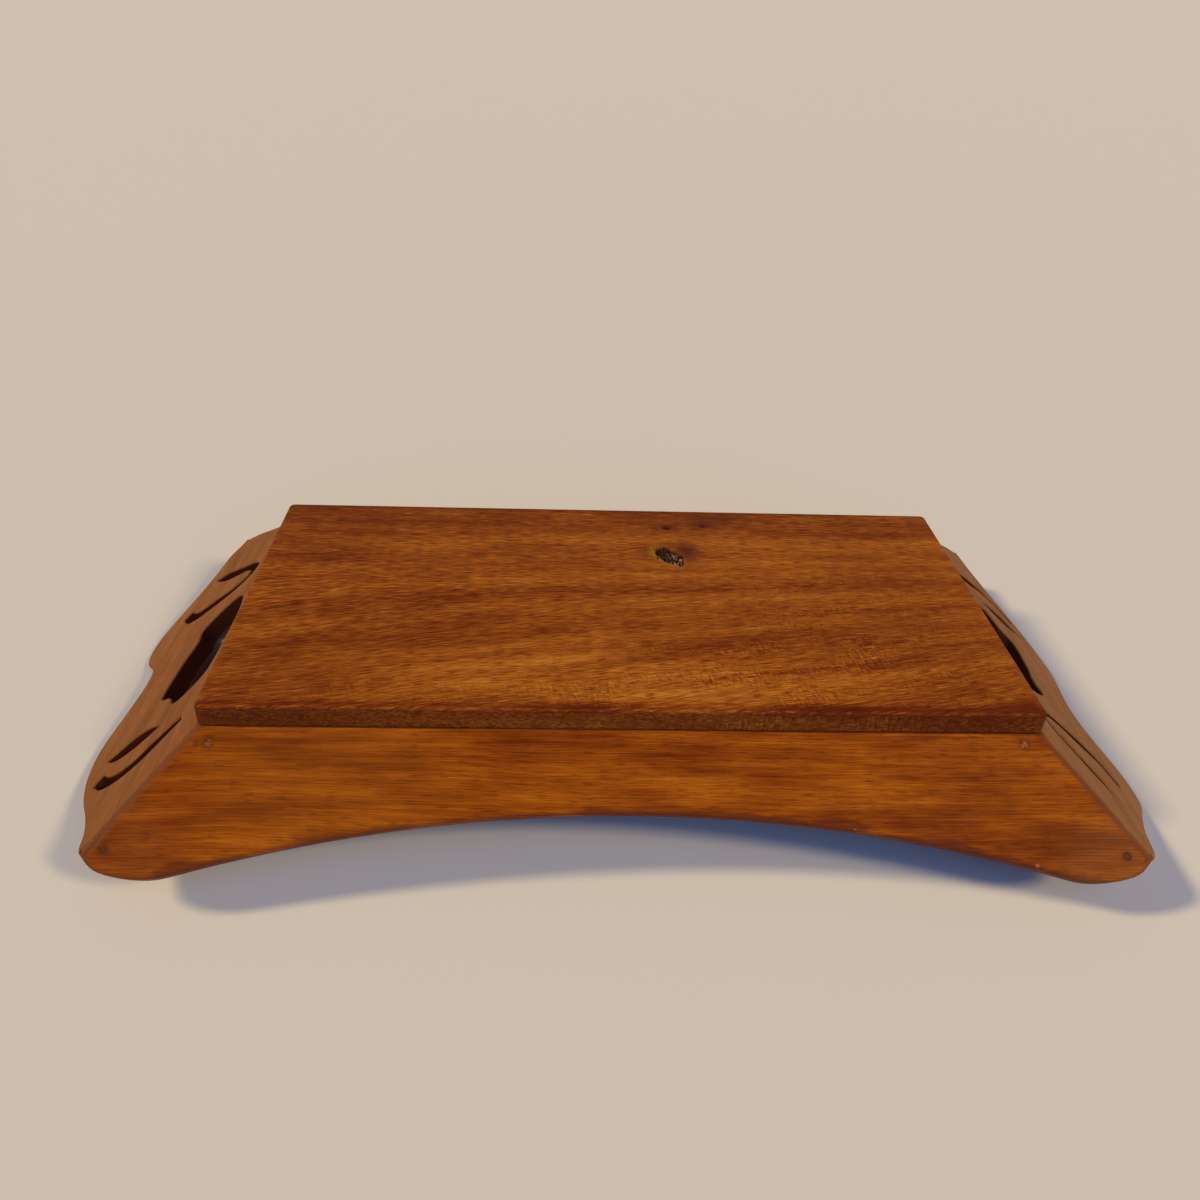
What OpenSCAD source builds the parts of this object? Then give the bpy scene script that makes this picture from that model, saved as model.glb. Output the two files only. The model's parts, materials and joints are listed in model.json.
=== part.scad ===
/* [Base board] */
// Length of the base board, left to right
board_length = 300; // [280:1:340]
// Width of the base board, front to back
board_width = 155; // [150:1:180]
// Thickness of the base board
board_thickness = 9; // [6:0.5:14]
// Radius of the base board's upright corners
board_corner_radius = 2; // [1:0.5:6]

/* [Flared walls] */
// Slope of every wall above the table, in degrees
wall_slope = 40; // [38:0.5:44]
// Thickness of the wall planks
wall_thickness = 8; // [7:0.5:9]
// Length of the mitred corners, measured down the slope
corner_reach = 45.5; // [44:0.5:47]
// Wood sanded off the point of each corner, to blunt it
tip_blunting = 1.5; // [1:0.5:3]

/* [Long sides] */
// Reach of the long sides at the crown of their arch, down the slope
arch_crown = 29; // [24:0.5:34]
// Reach of the long sides at their rounded toes, down the slope
toe_reach = 51.5; // [50:0.5:53]
// Distance from the corner's point back to the lowest place of the toe
toe_setback = 21; // [20:0.5:24]

/* [Pierced ends] */
// Reach of the lobe with the leaf cut, down the slope
leaf_lobe_reach = 78.5; // [77:0.5:80]
// Reach of the lobe with the hairpin cut, down the slope
hairpin_lobe_reach = 84.5; // [82:0.5:86]
// Reach of the dip between the two lobes, down the slope
dip_reach = 69; // [66:0.5:71]
// Radius of the holes drilled where the saw cuts start
start_hole_radius = 3; // [2.8:0.1:3.4]
// Depth of the flats sanded under the shorter lobes, on which the tray stands level
foot_flat = 0.4; // [0.2:0.1:1]

/* [Corner nails] */
// Diameter of the nail heads
head_diameter = 2.8; // [2.4:0.1:3.2]
// Thickness of the nail heads, which sit flush with the wood
head_thickness = 0.8; // [0.7:0.1:1.2]
// Diameter of the nail shanks
shank_diameter = 1.4; // [1.2:0.1:1.6]
// Length of the nails, from head to point
nail_length = 24; // [18:1:26]
// Play between a nail and its hole, on the diameter
nail_play = 0.1; // [0.05:0.05:0.2]

/* [Hidden] */
$fn = 48;
board_colour = "#8c4a22";
side_colour = "#a8621f";
end_colour = "#a8734a";
nail_colour = "#4a3a30";
half_length = board_length / 2;
half_width = board_width / 2;
// Height of the planed seat on top of the walls, where the base board is glued
seat_height = leaf_lobe_reach * sin(wall_slope) + wall_thickness * cos(wall_slope) - foot_flat;
// Wood that the planks have above the seat before they are planed level
planing = wall_thickness / tan(wall_slope) + 3;
// Wood that the planks have beyond their corners before they are mitred
mitre_waste = 6;
// How far a corner's point stands out from the base board, both along it and across it
corner_spread = corner_reach * cos(wall_slope);
end_tip = half_width + corner_spread;
side_tip = half_length + corner_spread;
// The toe's arc starts level at its lowest place and passes through the corner's point
toe_offset = side_tip - toe_setback;
toe_lift = toe_reach - corner_reach;
toe_radius = (toe_setback * toe_setback + toe_lift * toe_lift) / (2 * toe_lift);
toe_turn = asin((toe_setback + mitre_waste) / toe_radius);
toe_steps = 8;
// The arch's circle passes through its crown and springs from just inside the toes
arch_half_span = toe_offset - 6;
arch_rise = toe_reach - arch_crown - 0.3;
arch_radius = (arch_half_span * arch_half_span + arch_rise * arch_rise) / (2 * arch_rise);
// Nail places on a long side, left then right: distance from its middle, reach down the slope
upper_nails = [[half_length - 5, 5.6], [half_length - 7.5, 3.6]];
lower_nails = [[half_length + 25.5, 41.5], [half_length + 24, 42.5]];
shank_start = 1;
point_length = 2.5;
point_diameter = 0.3;
curve_steps = 6;

// Places on an end, as [distance from its middle, reach down the slope]
rim_places = [
    [end_tip + 10, corner_reach - 3], [end_tip - 5, corner_reach + 1.6], [98, 49.5], [84, 57],
    [70, 66.5], [54, leaf_lobe_reach - 4], [38, leaf_lobe_reach], [26, leaf_lobe_reach - 0.5],
    [12, leaf_lobe_reach - 5], [0, dip_reach + 1], [-9, dip_reach], [-18, dip_reach + 2],
    [-26, dip_reach + 7], [-34, hairpin_lobe_reach - 2.5], [-45, hairpin_lobe_reach],
    [-58, hairpin_lobe_reach - 3], [-72, 70.5], [-88, 59], [-103, 52.5],
    [-end_tip - 2, corner_reach - 1], [-end_tip - 10, corner_reach - 9]
];
hand_hole_places = [
    [24, 43.5], [2, 40.5], [-10, 36.5], [-20, 37.5], [-27, 28], [-28, 17],
    [-14, 12], [10, 12], [30, 14], [38, 22], [39, 30], [31, 35.5]
];
// Saw cuts, as [distance from the middle, reach down the slope, half of the cut's width]
leaf_cut = [[51.5, 32, 0.3], [50.5, 40, 4], [50, 48, 5], [49.5, 56, 4], [48, 64, 0.3]];
crook_cut = [
    [59.5, 16, 2], [62.5, 23.5, 3.2], [66, 31, 4], [69, 38.5, 3.6],
    [69.5, 47, 3.2], [67, 55, 3], [62, 61, 2.6]
];
hairpin_cut = [
    [-78, 52.5, 0.4], [-73, 45, 2.6], [-67.5, 37.5, 3.4], [-62.5, 29.5, 3], [-57.5, 21, 2.6],
    [-51, 16.5, 2.4], [-45.5, 21.5, 2.6], [-44, 31, 3], [-45, 41, 3.8], [-46, 50, 4],
    [-49, 57.5, 3.4], [-55.5, 63, 2.6]
];

// Catmull-Rom curve between the places b and c
function spline(a, b, c, d, u) =
    (2 * b + (c - a) * u + (2 * a - 5 * b + 4 * c - d) * u * u + (3 * b - a - 3 * c + d) * u * u * u) / 2;

// Smooth open curve through places
function smooth_line(places) =
    let (last = len(places) - 1)
    concat([
        for (i = [0 : last - 1])
        for (k = [0 : curve_steps - 1])
        spline(places[max(i - 1, 0)], places[i], places[i + 1], places[min(i + 2, last)], k / curve_steps)
    ], [places[last]]);

// Smooth closed curve through places
function smooth_loop(places) =
    let (n = len(places))
    [
        for (i = [0 : n - 1])
        for (k = [0 : curve_steps - 1])
        spline(places[(i + n - 1) % n], places[i], places[(i + 1) % n], places[(i + 2) % n], k / curve_steps)
    ];

// Direction across a curve at its point i
function across(line, i) =
    let (ahead = line[min(i + 1, len(line) - 1)], behind = line[max(i - 1, 0)])
    let (along = [ahead[0] - behind[0], ahead[1] - behind[1]])
    [-along[1], along[0]] / norm(along);

// One edge of a saw cut, on the left (1) or on the right (-1) of its middle line
function cut_edge(line, hand) =
    [for (i = [0 : len(line) - 1]) [line[i][0], line[i][1]] + hand * line[i][2] * across(line, i)];

// The same places from last to first
function backwards(places) = [for (i = [len(places) - 1 : -1 : 0]) places[i]];

// Curved saw cut whose width follows its places
module saw_cut(places) {
    line = smooth_line(places);
    polygon(concat(cut_edge(line, 1), backwards(cut_edge(line, -1))));
}

// Hole that a saw cut starts from, at its last place
module start_hole(places) {
    last = places[len(places) - 1];
    translate([last[0], last[1]])
        circle(r = start_hole_radius);
}

// Flat shape of an end: lobed rim, hand hole and saw cuts
module end_outline() {
    difference() {
        polygon(concat(
            [[-end_tip - 10, -planing], [end_tip + 10, -planing]],
            smooth_line(rim_places)
        ));
        polygon(smooth_loop(hand_hole_places));
        saw_cut(leaf_cut);
        saw_cut(crook_cut);
        start_hole(crook_cut);
        saw_cut(hairpin_cut);
        start_hole(hairpin_cut);
    }
}

// Toe of a long side, from its lowest place up past the corner, on the left (-1) or right (1)
function toe(hand) = [
    for (step = [0 : toe_steps])
    let (angle = toe_turn * step / toe_steps)
    [hand * (toe_offset + toe_radius * sin(angle)), toe_reach - toe_radius * (1 - cos(angle))]
];

// Flat shape of a long side: straight seat, rounded toes and arched rim
module side_outline() {
    difference() {
        polygon(concat(
            [[-side_tip - mitre_waste, -planing], [side_tip + mitre_waste, -planing]],
            backwards(toe(1)),
            toe(-1)
        ));
        translate([0, arch_crown + arch_radius])
            circle(r = arch_radius, $fn = 360);
    }
}

// Stands a flat shape on a wall's slope, at a distance from the middle. Turn picks the wall.
module on_wall(turn, distance) {
    rotate([0, 0, turn])
        translate([0, -distance, seat_height])
            rotate([180 + wall_slope, 0, 0])
                children();
}

// Room of one wall, from the table up to the seat, between its mitre planes and blunted tips
module wall_room(turn, half_span, distance) {
    inside = 4 * wall_thickness;
    tip = corner_spread - tip_blunting;
    beyond = tip + hairpin_lobe_reach;
    rotate([0, 0, turn])
        linear_extrude(seat_height)
            polygon([
                [inside - half_span, inside - distance],
                [half_span - inside, inside - distance],
                [half_span + tip, -distance - tip],
                [half_span + tip - hairpin_lobe_reach, -distance - beyond],
                [hairpin_lobe_reach - half_span - tip, -distance - beyond],
                [-half_span - tip, -distance - tip]
            ]);
}

// Place of a nail on a long side's slope, on the left (-1) or right (1)
module at_nail(turn, places, hand) {
    place = places[hand < 0 ? 0 : 1];
    on_wall(turn, half_width)
        translate([hand * place[0], place[1], 0])
            children();
}

// Turns a shank level, so that it runs from a long side into the edge of the end plank
module along_shank() {
    rotate([90 - wall_slope, 0, 0])
        children();
}

// Nail whose head lies in the slope of a long side
module nail(turn, places, hand) {
    color(nail_colour)
        at_nail(turn, places, hand) {
            cylinder(d = head_diameter, h = head_thickness);
            along_shank()
                translate([0, 0, shank_start])
                    cylinder(d = shank_diameter, h = nail_length - shank_start - point_length);
            along_shank()
                translate([0, 0, nail_length - point_length])
                    cylinder(d1 = shank_diameter, d2 = point_diameter, h = point_length);
        }
}

// Room for the four nails of one long side, with their heads let into the wood
module nail_holes(turn) {
    for (places = [upper_nails, lower_nails])
    for (hand = [-1, 1])
    at_nail(turn, places, hand) {
        translate([0, 0, -1])
            cylinder(d = head_diameter + nail_play, h = head_thickness + 1);
        along_shank()
            cylinder(d = shank_diameter + nail_play, h = nail_length + nail_play);
    }
}

module long_side(turn) {
    color(side_colour)
        difference() {
            intersection() {
                on_wall(turn, half_width)
                    linear_extrude(wall_thickness)
                        side_outline();
                wall_room(turn, half_length, half_width);
            }
            nail_holes(turn);
        }
}

module pierced_end(turn) {
    color(end_colour)
        difference() {
            intersection() {
                on_wall(turn, half_length)
                    linear_extrude(wall_thickness)
                        end_outline();
                wall_room(turn, half_width, half_length);
            }
            nail_holes(0);
            nail_holes(180);
        }
}

module base_board() {
    straight_length = board_length - 2 * board_corner_radius;
    straight_width = board_width - 2 * board_corner_radius;
    color(board_colour)
        translate([0, 0, seat_height])
            linear_extrude(board_thickness) {
                square([board_length, straight_width], center = true);
                square([straight_length, board_width], center = true);
                for (x = [-1, 1])
                for (y = [-1, 1])
                translate([x * straight_length / 2, y * straight_width / 2])
                    circle(r = board_corner_radius);
            }
}

module front_side() {
    long_side(0);
}

module back_side() {
    long_side(180);
}

module left_end() {
    pierced_end(270);
}

module right_end() {
    pierced_end(90);
}

module front_left_upper_nail() {
    nail(0, upper_nails, -1);
}

module front_left_lower_nail() {
    nail(0, lower_nails, -1);
}

module front_right_upper_nail() {
    nail(0, upper_nails, 1);
}

module front_right_lower_nail() {
    nail(0, lower_nails, 1);
}

module back_left_upper_nail() {
    nail(180, upper_nails, 1);
}

module back_left_lower_nail() {
    nail(180, lower_nails, 1);
}

module back_right_upper_nail() {
    nail(180, upper_nails, -1);
}

module back_right_lower_nail() {
    nail(180, lower_nails, -1);
}

base_board();
front_side();
back_side();
left_end();
right_end();
front_left_upper_nail();
front_left_lower_nail();
front_right_upper_nail();
front_right_lower_nail();
back_left_upper_nail();
back_left_lower_nail();
back_right_upper_nail();
back_right_lower_nail();
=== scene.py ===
# %% [markdown]
# # A flared wooden tray, upside down
#
# The object is a small hand-made tray that stands on the rims of its walls, with its base board uppermost.
# Four planks of reddish hardwood slope outwards from the board and meet in mitred, nailed corners. The long
# sides have an arched rim, and the ends are fret-sawn: lobes, a hand hole and a few curved cuts.
#
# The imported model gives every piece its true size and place. Here each plank gets what the workshop gave it:
# rounded edges, a blunted ridge at every corner, a knot with its hollows, grain, oil and varnish.

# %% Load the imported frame
import json
import math

import bmesh
import bpy
from mathutils import Matrix, Vector, noise
from mathutils.geometry import tessellate_polygon


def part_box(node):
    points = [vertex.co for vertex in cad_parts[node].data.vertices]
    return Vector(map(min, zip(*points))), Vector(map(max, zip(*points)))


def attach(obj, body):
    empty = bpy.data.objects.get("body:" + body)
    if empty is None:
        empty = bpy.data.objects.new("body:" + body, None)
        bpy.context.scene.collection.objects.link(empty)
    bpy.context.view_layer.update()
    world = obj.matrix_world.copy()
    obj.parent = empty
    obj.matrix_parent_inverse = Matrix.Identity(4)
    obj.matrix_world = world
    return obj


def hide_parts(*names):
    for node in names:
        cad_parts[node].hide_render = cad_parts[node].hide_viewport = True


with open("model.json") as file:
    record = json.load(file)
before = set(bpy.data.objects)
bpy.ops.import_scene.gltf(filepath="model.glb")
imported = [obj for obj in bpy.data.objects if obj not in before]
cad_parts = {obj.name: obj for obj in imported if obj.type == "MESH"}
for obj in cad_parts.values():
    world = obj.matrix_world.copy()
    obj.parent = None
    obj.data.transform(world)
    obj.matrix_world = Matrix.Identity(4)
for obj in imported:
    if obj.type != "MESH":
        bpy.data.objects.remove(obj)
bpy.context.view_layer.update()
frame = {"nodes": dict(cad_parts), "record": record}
MM = 0.001

# %% [markdown]
# ## Sizes and plank directions
#
# Every size that the frame can tell is read from it. A wall is easiest to think of in its own directions:
# along the plank, down its slope, and in from its outer face. One matrix for each wall turns a place in the
# frame into those directions. The same matrix later turns the wood grain along the plank.

# %% Read the sizes
WALL_SLOPE = math.radians(40)
WALL_TURNS = {"front_side": 0, "right_end": 90, "back_side": 180, "left_end": 270}
board_low, board_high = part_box("base_board")
SEAT = board_low.z
HALF_LENGTH = board_high.x
HALF_WIDTH = board_high.y


def plank_axes(wall):
    """Matrix from the frame to a wall: along the plank, down its slope, in from its outer face."""
    distance = HALF_WIDTH if wall.endswith("side") else HALF_LENGTH
    seat_edge = Vector((0, -distance, SEAT))
    unturn = Matrix.Rotation(-math.radians(WALL_TURNS[wall]), 4, "Z")
    lay_flat = Matrix.Rotation(-(math.pi + WALL_SLOPE), 4, "X")
    return lay_flat @ Matrix.Translation(-seat_edge) @ unturn


print("Seat at", round(SEAT / MM, 2), "mm, board top at", round(board_high.z / MM, 2), "mm")

# %% [markdown]
# ## Camera
#
# The photograph was matched by fitting a pinhole camera to the corners of the board and the tips of the
# walls. A lens is set by its focal length on a 36 mm wide sensor, and the camera's own axes are built from
# three angles: how far it looks to the side, how far it looks down, and how far it leans.

# %% Place the camera
CAMERA_PLACE = Vector((-27.0, -371.3, 291.3)) * MM
CAMERA_YAW = math.radians(3.0)
CAMERA_PITCH = math.radians(31.6)
CAMERA_ROLL = math.radians(-2.45)
LENS_MM = 31.8
SENSOR_MM = 36
NEAREST_SEEN = 10 * MM

forward = Vector((
    math.sin(CAMERA_YAW) * math.cos(CAMERA_PITCH),
    math.cos(CAMERA_YAW) * math.cos(CAMERA_PITCH),
    -math.sin(CAMERA_PITCH),
))
level_right = Vector((math.cos(CAMERA_YAW), -math.sin(CAMERA_YAW), 0))
level_down = forward.cross(level_right)
right = math.cos(CAMERA_ROLL) * level_right + math.sin(CAMERA_ROLL) * level_down
down = math.cos(CAMERA_ROLL) * level_down - math.sin(CAMERA_ROLL) * level_right
camera_axes = Matrix((right, -down, -forward)).transposed().to_4x4()

camera_data = bpy.data.cameras.new("photo_camera")
camera_data.lens = LENS_MM
camera_data.sensor_width = SENSOR_MM
camera_data.clip_start = NEAREST_SEEN
camera = bpy.data.objects.new("photo_camera", camera_data)
camera.matrix_world = Matrix.Translation(CAMERA_PLACE) @ camera_axes
bpy.context.scene.collection.objects.link(camera)
bpy.context.scene.camera = camera
print("Camera looks down", round(math.degrees(CAMERA_PITCH), 1), "degrees")

# %% [markdown]
# ## Two small helpers
#
# Colours are written as sRGB hex values, as a paint program shows them, and Blender's shaders want linear
# numbers, so one function turns the first into the second. Node trees are built by one other function. It
# adds a node, sets its options, and fills each input socket with a number or with a link.

# %% Colour and node helpers


def linear(hex_colour):
    """Linear RGBA of an sRGB hex colour such as #8c4a22."""
    channels = [int(hex_colour[i:i + 2], 16) / 255 for i in (1, 3, 5)]
    return [c / 12.92 if c <= 0.04045 else ((c + 0.055) / 1.055) ** 2.4 for c in channels] + [1.0]


def add_node(tree, kind, sockets=None, **settings):
    """Adds one node with its settings, and fills its input sockets with values or links."""
    node = tree.nodes.new(kind)
    for name, value in settings.items():
        setattr(node, name, value)
    for socket, source in (sockets or {}).items():
        if isinstance(source, bpy.types.NodeSocket):
            tree.links.new(source, node.inputs[socket])
        else:
            node.inputs[socket].default_value = source
    return node


print("A mid brown in linear numbers:", [round(channel, 3) for channel in linear("#8c4a22")])

# %% [markdown]
# ## Floor and light
#
# The tray stands on a plain pale table. One large square is enough for it, because only its colour and the
# shadows on it show. The view transform is Standard, at which a colour renders as it is written.

# %% Make the floor
FLOOR_SIZE = 40.0
FLOOR_COLOUR = "#cdbdae"
FLOOR_ROUGHNESS = 0.75
FLOOR_SPECULAR = 0.2
bpy.context.scene.view_settings.view_transform = "Standard"

# Matt paint: an even pale surface with no gloss of its own, so that only the shadows draw on it
floor_paint = bpy.data.materials.new("matt_painted_table")
floor_paint.use_nodes = True
floor_shader = floor_paint.node_tree.nodes["Principled BSDF"]
floor_shader.inputs["Base Color"].default_value = linear(FLOOR_COLOUR)
floor_shader.inputs["Roughness"].default_value = FLOOR_ROUGHNESS
floor_shader.inputs["Specular IOR Level"].default_value = FLOOR_SPECULAR

floor_mesh = bpy.data.meshes.new("floor")
half_floor = FLOOR_SIZE / 2
floor_corners = [(x * half_floor, y * half_floor, 0) for x, y in ((-1, -1), (1, -1), (1, 1), (-1, 1))]
floor_mesh.from_pydata(floor_corners, [], [(0, 1, 2, 3)])
floor_mesh.materials.append(floor_paint)
floor = bpy.data.objects.new("floor", floor_mesh)
bpy.context.scene.collection.objects.link(floor)
print("Floor", FLOOR_SIZE, "m square")

# %% [markdown]
# Two warm lamps in front of the tray, one to the left and one to the right, give the two soft shadows under
# the arch. A broad bluish window light from the front shows where the lamps don't reach. All are sun lamps,
# because those light a large floor evenly, and the width of a sun lamp makes its shadows soft.

# %% Hang the lamps
# Each lamp: the direction it shines from, its width in degrees, its share of the floor's light, its colour
LAMPS = {
    "left_lamp": (Vector((-0.64, -0.15, 0.58)), 8, 0.52, "#fff2bd"),
    "right_lamp": (Vector((0.60, -0.53, 0.60)), 8, 0.33, "#fff2bd"),
    "window": (Vector((0.10, -0.86, 0.50)), 70, 0.45, "#78aaff"),
}
# A wider lamp would lie on the oiled board as a blue sheen, so it is left out of reflections
WIDE_LAMP = 30
for lamp_name, (direction, width, share, colour) in LAMPS.items():
    direction.normalize()
    lamp_data = bpy.data.lights.new(lamp_name, "SUN")
    lamp_data.angle = math.radians(width)
    lamp_data.color = linear(colour)[:3]
    lamp_data.energy = share * math.pi / direction.z
    lamp = bpy.data.objects.new(lamp_name, lamp_data)
    lamp.visible_glossy = width < WIDE_LAMP
    lamp.matrix_world = direction.to_track_quat("Z", "Y").to_matrix().to_4x4()
    bpy.context.scene.collection.objects.link(lamp)
    print(lamp_name, round(lamp_data.energy, 2), "W per square metre")

# %% [markdown]
# A weak bluish light comes from everywhere, as from the walls of a room. It is the light of the world. What
# the camera or a reflection sees of the world is a plain backdrop in the floor's colour instead, and the
# Light Path node tells the two apart. All lights together add up to about one in red, green and blue: a
# plain level, at which a colour renders about as it is written.

# %% Light the room
AMBIENT_COLOUR = "#b4c8ff"
AMBIENT_LEVEL = 0.12

world = bpy.data.worlds.new("room")
world.use_nodes = True
room = world.node_tree
room.nodes.clear()
rays = add_node(room, "ShaderNodeLightPath").outputs
seen = rays["Is Camera Ray"]
for kind in ("Is Glossy Ray", "Is Transmission Ray"):
    seen = add_node(room, "ShaderNodeMath", {0: seen, 1: rays[kind]}, use_clamp=True).outputs[0]
ambient = add_node(
    room, "ShaderNodeBackground", {"Color": linear(AMBIENT_COLOUR), "Strength": AMBIENT_LEVEL})
backdrop = add_node(room, "ShaderNodeBackground", {"Color": linear(FLOOR_COLOUR), "Strength": 1.0})
room_light = add_node(
    room, "ShaderNodeMixShader", {0: seen, 1: ambient.outputs[0], 2: backdrop.outputs[0]})
add_node(room, "ShaderNodeOutputWorld", {"Surface": room_light.outputs[0]})
bpy.context.scene.world = world
lights = [(share, colour) for direction, width, share, colour in LAMPS.values()]
lights.append((AMBIENT_LEVEL, AMBIENT_COLOUR))
print("Light on the floor in red, green and blue:", [
    round(sum(share * linear(colour)[channel] for share, colour in lights), 2) for channel in range(3)])

# %% [markdown]
# ## The wood
#
# All five planks are a reddish tropical hardwood, mahogany or a near relative. What makes it look like that
# wood: long streaks of lighter and darker colour, short dark pores along the grain, and short strokes across
# the grain that catch the light. All are noise that is drawn out along the plank or across it, so one helper
# makes them from the length, width and depth of one feature in millimetres.
#
# A texture in space, not a flat picture, also gives the edges and the sawn cuts their matching grain. The
# finest fibres of the real wood are thinner than a pixel, so they are drawn about twice as coarse.

# %% Streaks in the wood
SWAY_SIZE = (150, 50, 60)
BAND_SIZE = (260, 13, 26)
STREAK_SIZE = (36, 0.8, 3)
FIBRE_SIZE = (7.0, 0.36, 1.2)
HAIRLINE_SIZE = (22, 0.42, 1.2)
PORE_SIZE = (5.5, 0.38, 0.8)
BLOTCH_SIZE = (34, 9, 12)
RIPPLE_SIZE = (1.0, 3.6, 8.0)
RIPPLE_PATCH_SIZE = (40, 14, 20)
NOISE_ROUGHNESS = 0.55


def streaks(tree, grain, size, detail, shift=0.0):
    """Noise from 0 to 1 whose features have this length, width and depth in mm."""
    drawn_out = add_node(
        tree, "ShaderNodeVectorMath",
        {0: grain, 1: [1 / side for side in size], 2: (shift, shift, shift)}, operation="MULTIPLY_ADD")
    pattern = add_node(tree, "ShaderNodeTexNoise", {
        "Vector": drawn_out.outputs[0], "Scale": 1.0, "Detail": detail, "Roughness": NOISE_ROUGHNESS})
    return pattern.outputs["Fac"]


print("Streaks in mm:", BAND_SIZE, STREAK_SIZE, FIBRE_SIZE, HAIRLINE_SIZE, "pores", PORE_SIZE)

# %% [markdown]
# A plank's noise is read in the plank's own directions. On a wall, a Mapping node turns Object coordinates
# into them. On the board the grain bends round a knot, which a straight mapping can't do, so there the bent
# coordinates are stored on the mesh as an attribute. Either way the grain is then swayed a little, because
# no tree grows straight.

# %% Directions of the grain


def straight_grain(tree, axes):
    """Plank coordinates in mm, from Object coordinates."""
    coordinates = add_node(tree, "ShaderNodeTexCoord")
    turned = add_node(tree, "ShaderNodeMapping", {
        "Vector": coordinates.outputs["Object"],
        "Location": axes.translation / MM,
        "Rotation": axes.to_euler(),
        "Scale": (1 / MM, 1 / MM, 1 / MM),
    })
    return turned.outputs[0]


def swayed(tree, place, reach, shift):
    """The same coordinates, moved across the plank by up to about half this reach in mm."""
    sway = streaks(tree, place, SWAY_SIZE, detail=1.0, shift=shift)
    across = add_node(tree, "ShaderNodeMath", {0: sway, 1: reach, 2: -reach / 2}, operation="MULTIPLY_ADD")
    offset = add_node(tree, "ShaderNodeCombineXYZ", {"Y": across.outputs[0]})
    return add_node(tree, "ShaderNodeVectorMath", {0: place, 1: offset.outputs[0]}).outputs[0]


front_axes = plank_axes("front_side")
front_turn = [round(math.degrees(angle)) for angle in front_axes.to_euler()]
print("The front side's directions are turned by", front_turn, "degrees")

# %% [markdown]
# In this wood the fibres are wavy, and in some patches they catch the light in short strokes across the
# grain. A second noise says where those patches are. The waves also push the other streaks aside a little.
# They could be a bump, but the waves lie under a smooth surface, so they are drawn as lighter and darker
# wood.

# %% Ripples in the wood
MIDDLE_TONE = 0.5
RIPPLE_PATCH_EDGE = (0.35, 0.65)
# Every layer of a plank reads its own part of the noise, this far from the plank's own seed
LAYER_SEEDS = {"band": 0, "streak": 7, "fibre": 13, "blotch": 19, "ripple": 23, "patch": 29, "pore": 31}


def rippled(tree, grain, look, figure):
    """Wavy fibres: strokes across the grain where the figure is strong, and the grain pushed aside."""
    slanted = add_node(
        tree, "ShaderNodeMapping", {"Vector": grain, "Rotation": (0, 0, math.radians(look["slant"]))})
    strokes = streaks(
        tree, slanted.outputs[0], RIPPLE_SIZE, detail=1.0, shift=look["seed"] + LAYER_SEEDS["ripple"])
    patches = streaks(
        tree, grain, RIPPLE_PATCH_SIZE, detail=1.0, shift=look["seed"] + LAYER_SEEDS["patch"])
    where = add_node(tree, "ShaderNodeMapRange", {
        "Value": patches, "From Min": RIPPLE_PATCH_EDGE[0], "From Max": RIPPLE_PATCH_EDGE[1],
        "To Max": figure}, interpolation_type="SMOOTHSTEP")
    centred = add_node(tree, "ShaderNodeMath", {0: strokes, 1: MIDDLE_TONE}, operation="SUBTRACT")
    wave = add_node(
        tree, "ShaderNodeMath", {0: centred.outputs[0], 1: where.outputs[0]}, operation="MULTIPLY").outputs[0]
    push = add_node(tree, "ShaderNodeMath", {0: wave, 1: look["ripple_reach"]}, operation="MULTIPLY")
    offset = add_node(tree, "ShaderNodeCombineXYZ", {"Y": push.outputs[0]})
    pushed = add_node(tree, "ShaderNodeVectorMath", {0: grain, 1: offset.outputs[0]})
    return pushed.outputs[0], wave


print("Ripple strokes in mm:", RIPPLE_SIZE, "in patches of", RIPPLE_PATCH_SIZE)

# %% [markdown]
# Every plank's colour is built in two steps. First the streaks add up to one number, the tone, from dark to
# light, and a colour ramp turns it into wood colours. Then darker things are laid over it one by one: pores,
# stains, worn edges. A look table says how strong each streak is and which colours the ramp runs through.

# %% Tone and colour of the wood
LAYER_DETAILS = {"band": 3.0, "streak": 3.0, "fibre": 1.0, "blotch": 2.0}


def wood_tone(tree, grain, look, shade, wave):
    """Adds the streaks up to one tone. The shade is a tone of its own, from the mesh or a number."""
    sizes = {
        "band": BAND_SIZE, "streak": look["streak_size"], "fibre": look["fibre_size"], "blotch": BLOTCH_SIZE}
    layers = {
        layer: streaks(tree, grain, size, LAYER_DETAILS[layer], look["seed"] + LAYER_SEEDS[layer])
        for layer, size in sizes.items()
    }
    start = MIDDLE_TONE - sum(look[layer] for layer in layers) / 2
    tone = add_node(tree, "ShaderNodeMath", {0: shade, 1: start}).outputs[0]
    for layer, amount in {**layers, "ripple": wave}.items():
        tone = add_node(
            tree, "ShaderNodeMath", {0: amount, 1: look[layer], 2: tone}, operation="MULTIPLY_ADD").outputs[0]
    return tone, layers


def set_stops(ramp, stops):
    """Sets the stops of a colour ramp: hex colours, from dark to light, at places from 0 to 1."""
    elements = ramp.color_ramp.elements
    for place in list(stops)[1:-1]:
        elements.new(place)
    for element, (place, colour) in zip(elements, stops.items()):
        element.position = place
        element.color = linear(colour)


print("Streaks that add up to a tone:", ", ".join(LAYER_DETAILS))

# %% [markdown]
# The finish comes last. Pores are tiny open grooves, so the same noise darkens the colour and dents the
# surface. The bump's height is in millimetres and its distance is one millimetre, so the numbers are real
# depths. Oil leaves a satin surface, varnish a slightly glossier one, and bare sanded wood is matt.

# %% Finish of the wood
PORE_EDGE = 0.10
# Numbers of a Mix node's sockets for its two colours and for its mixed colour
LOWER_COLOUR = 6
UPPER_COLOUR = 7
MIXED_COLOUR = 2


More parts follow.
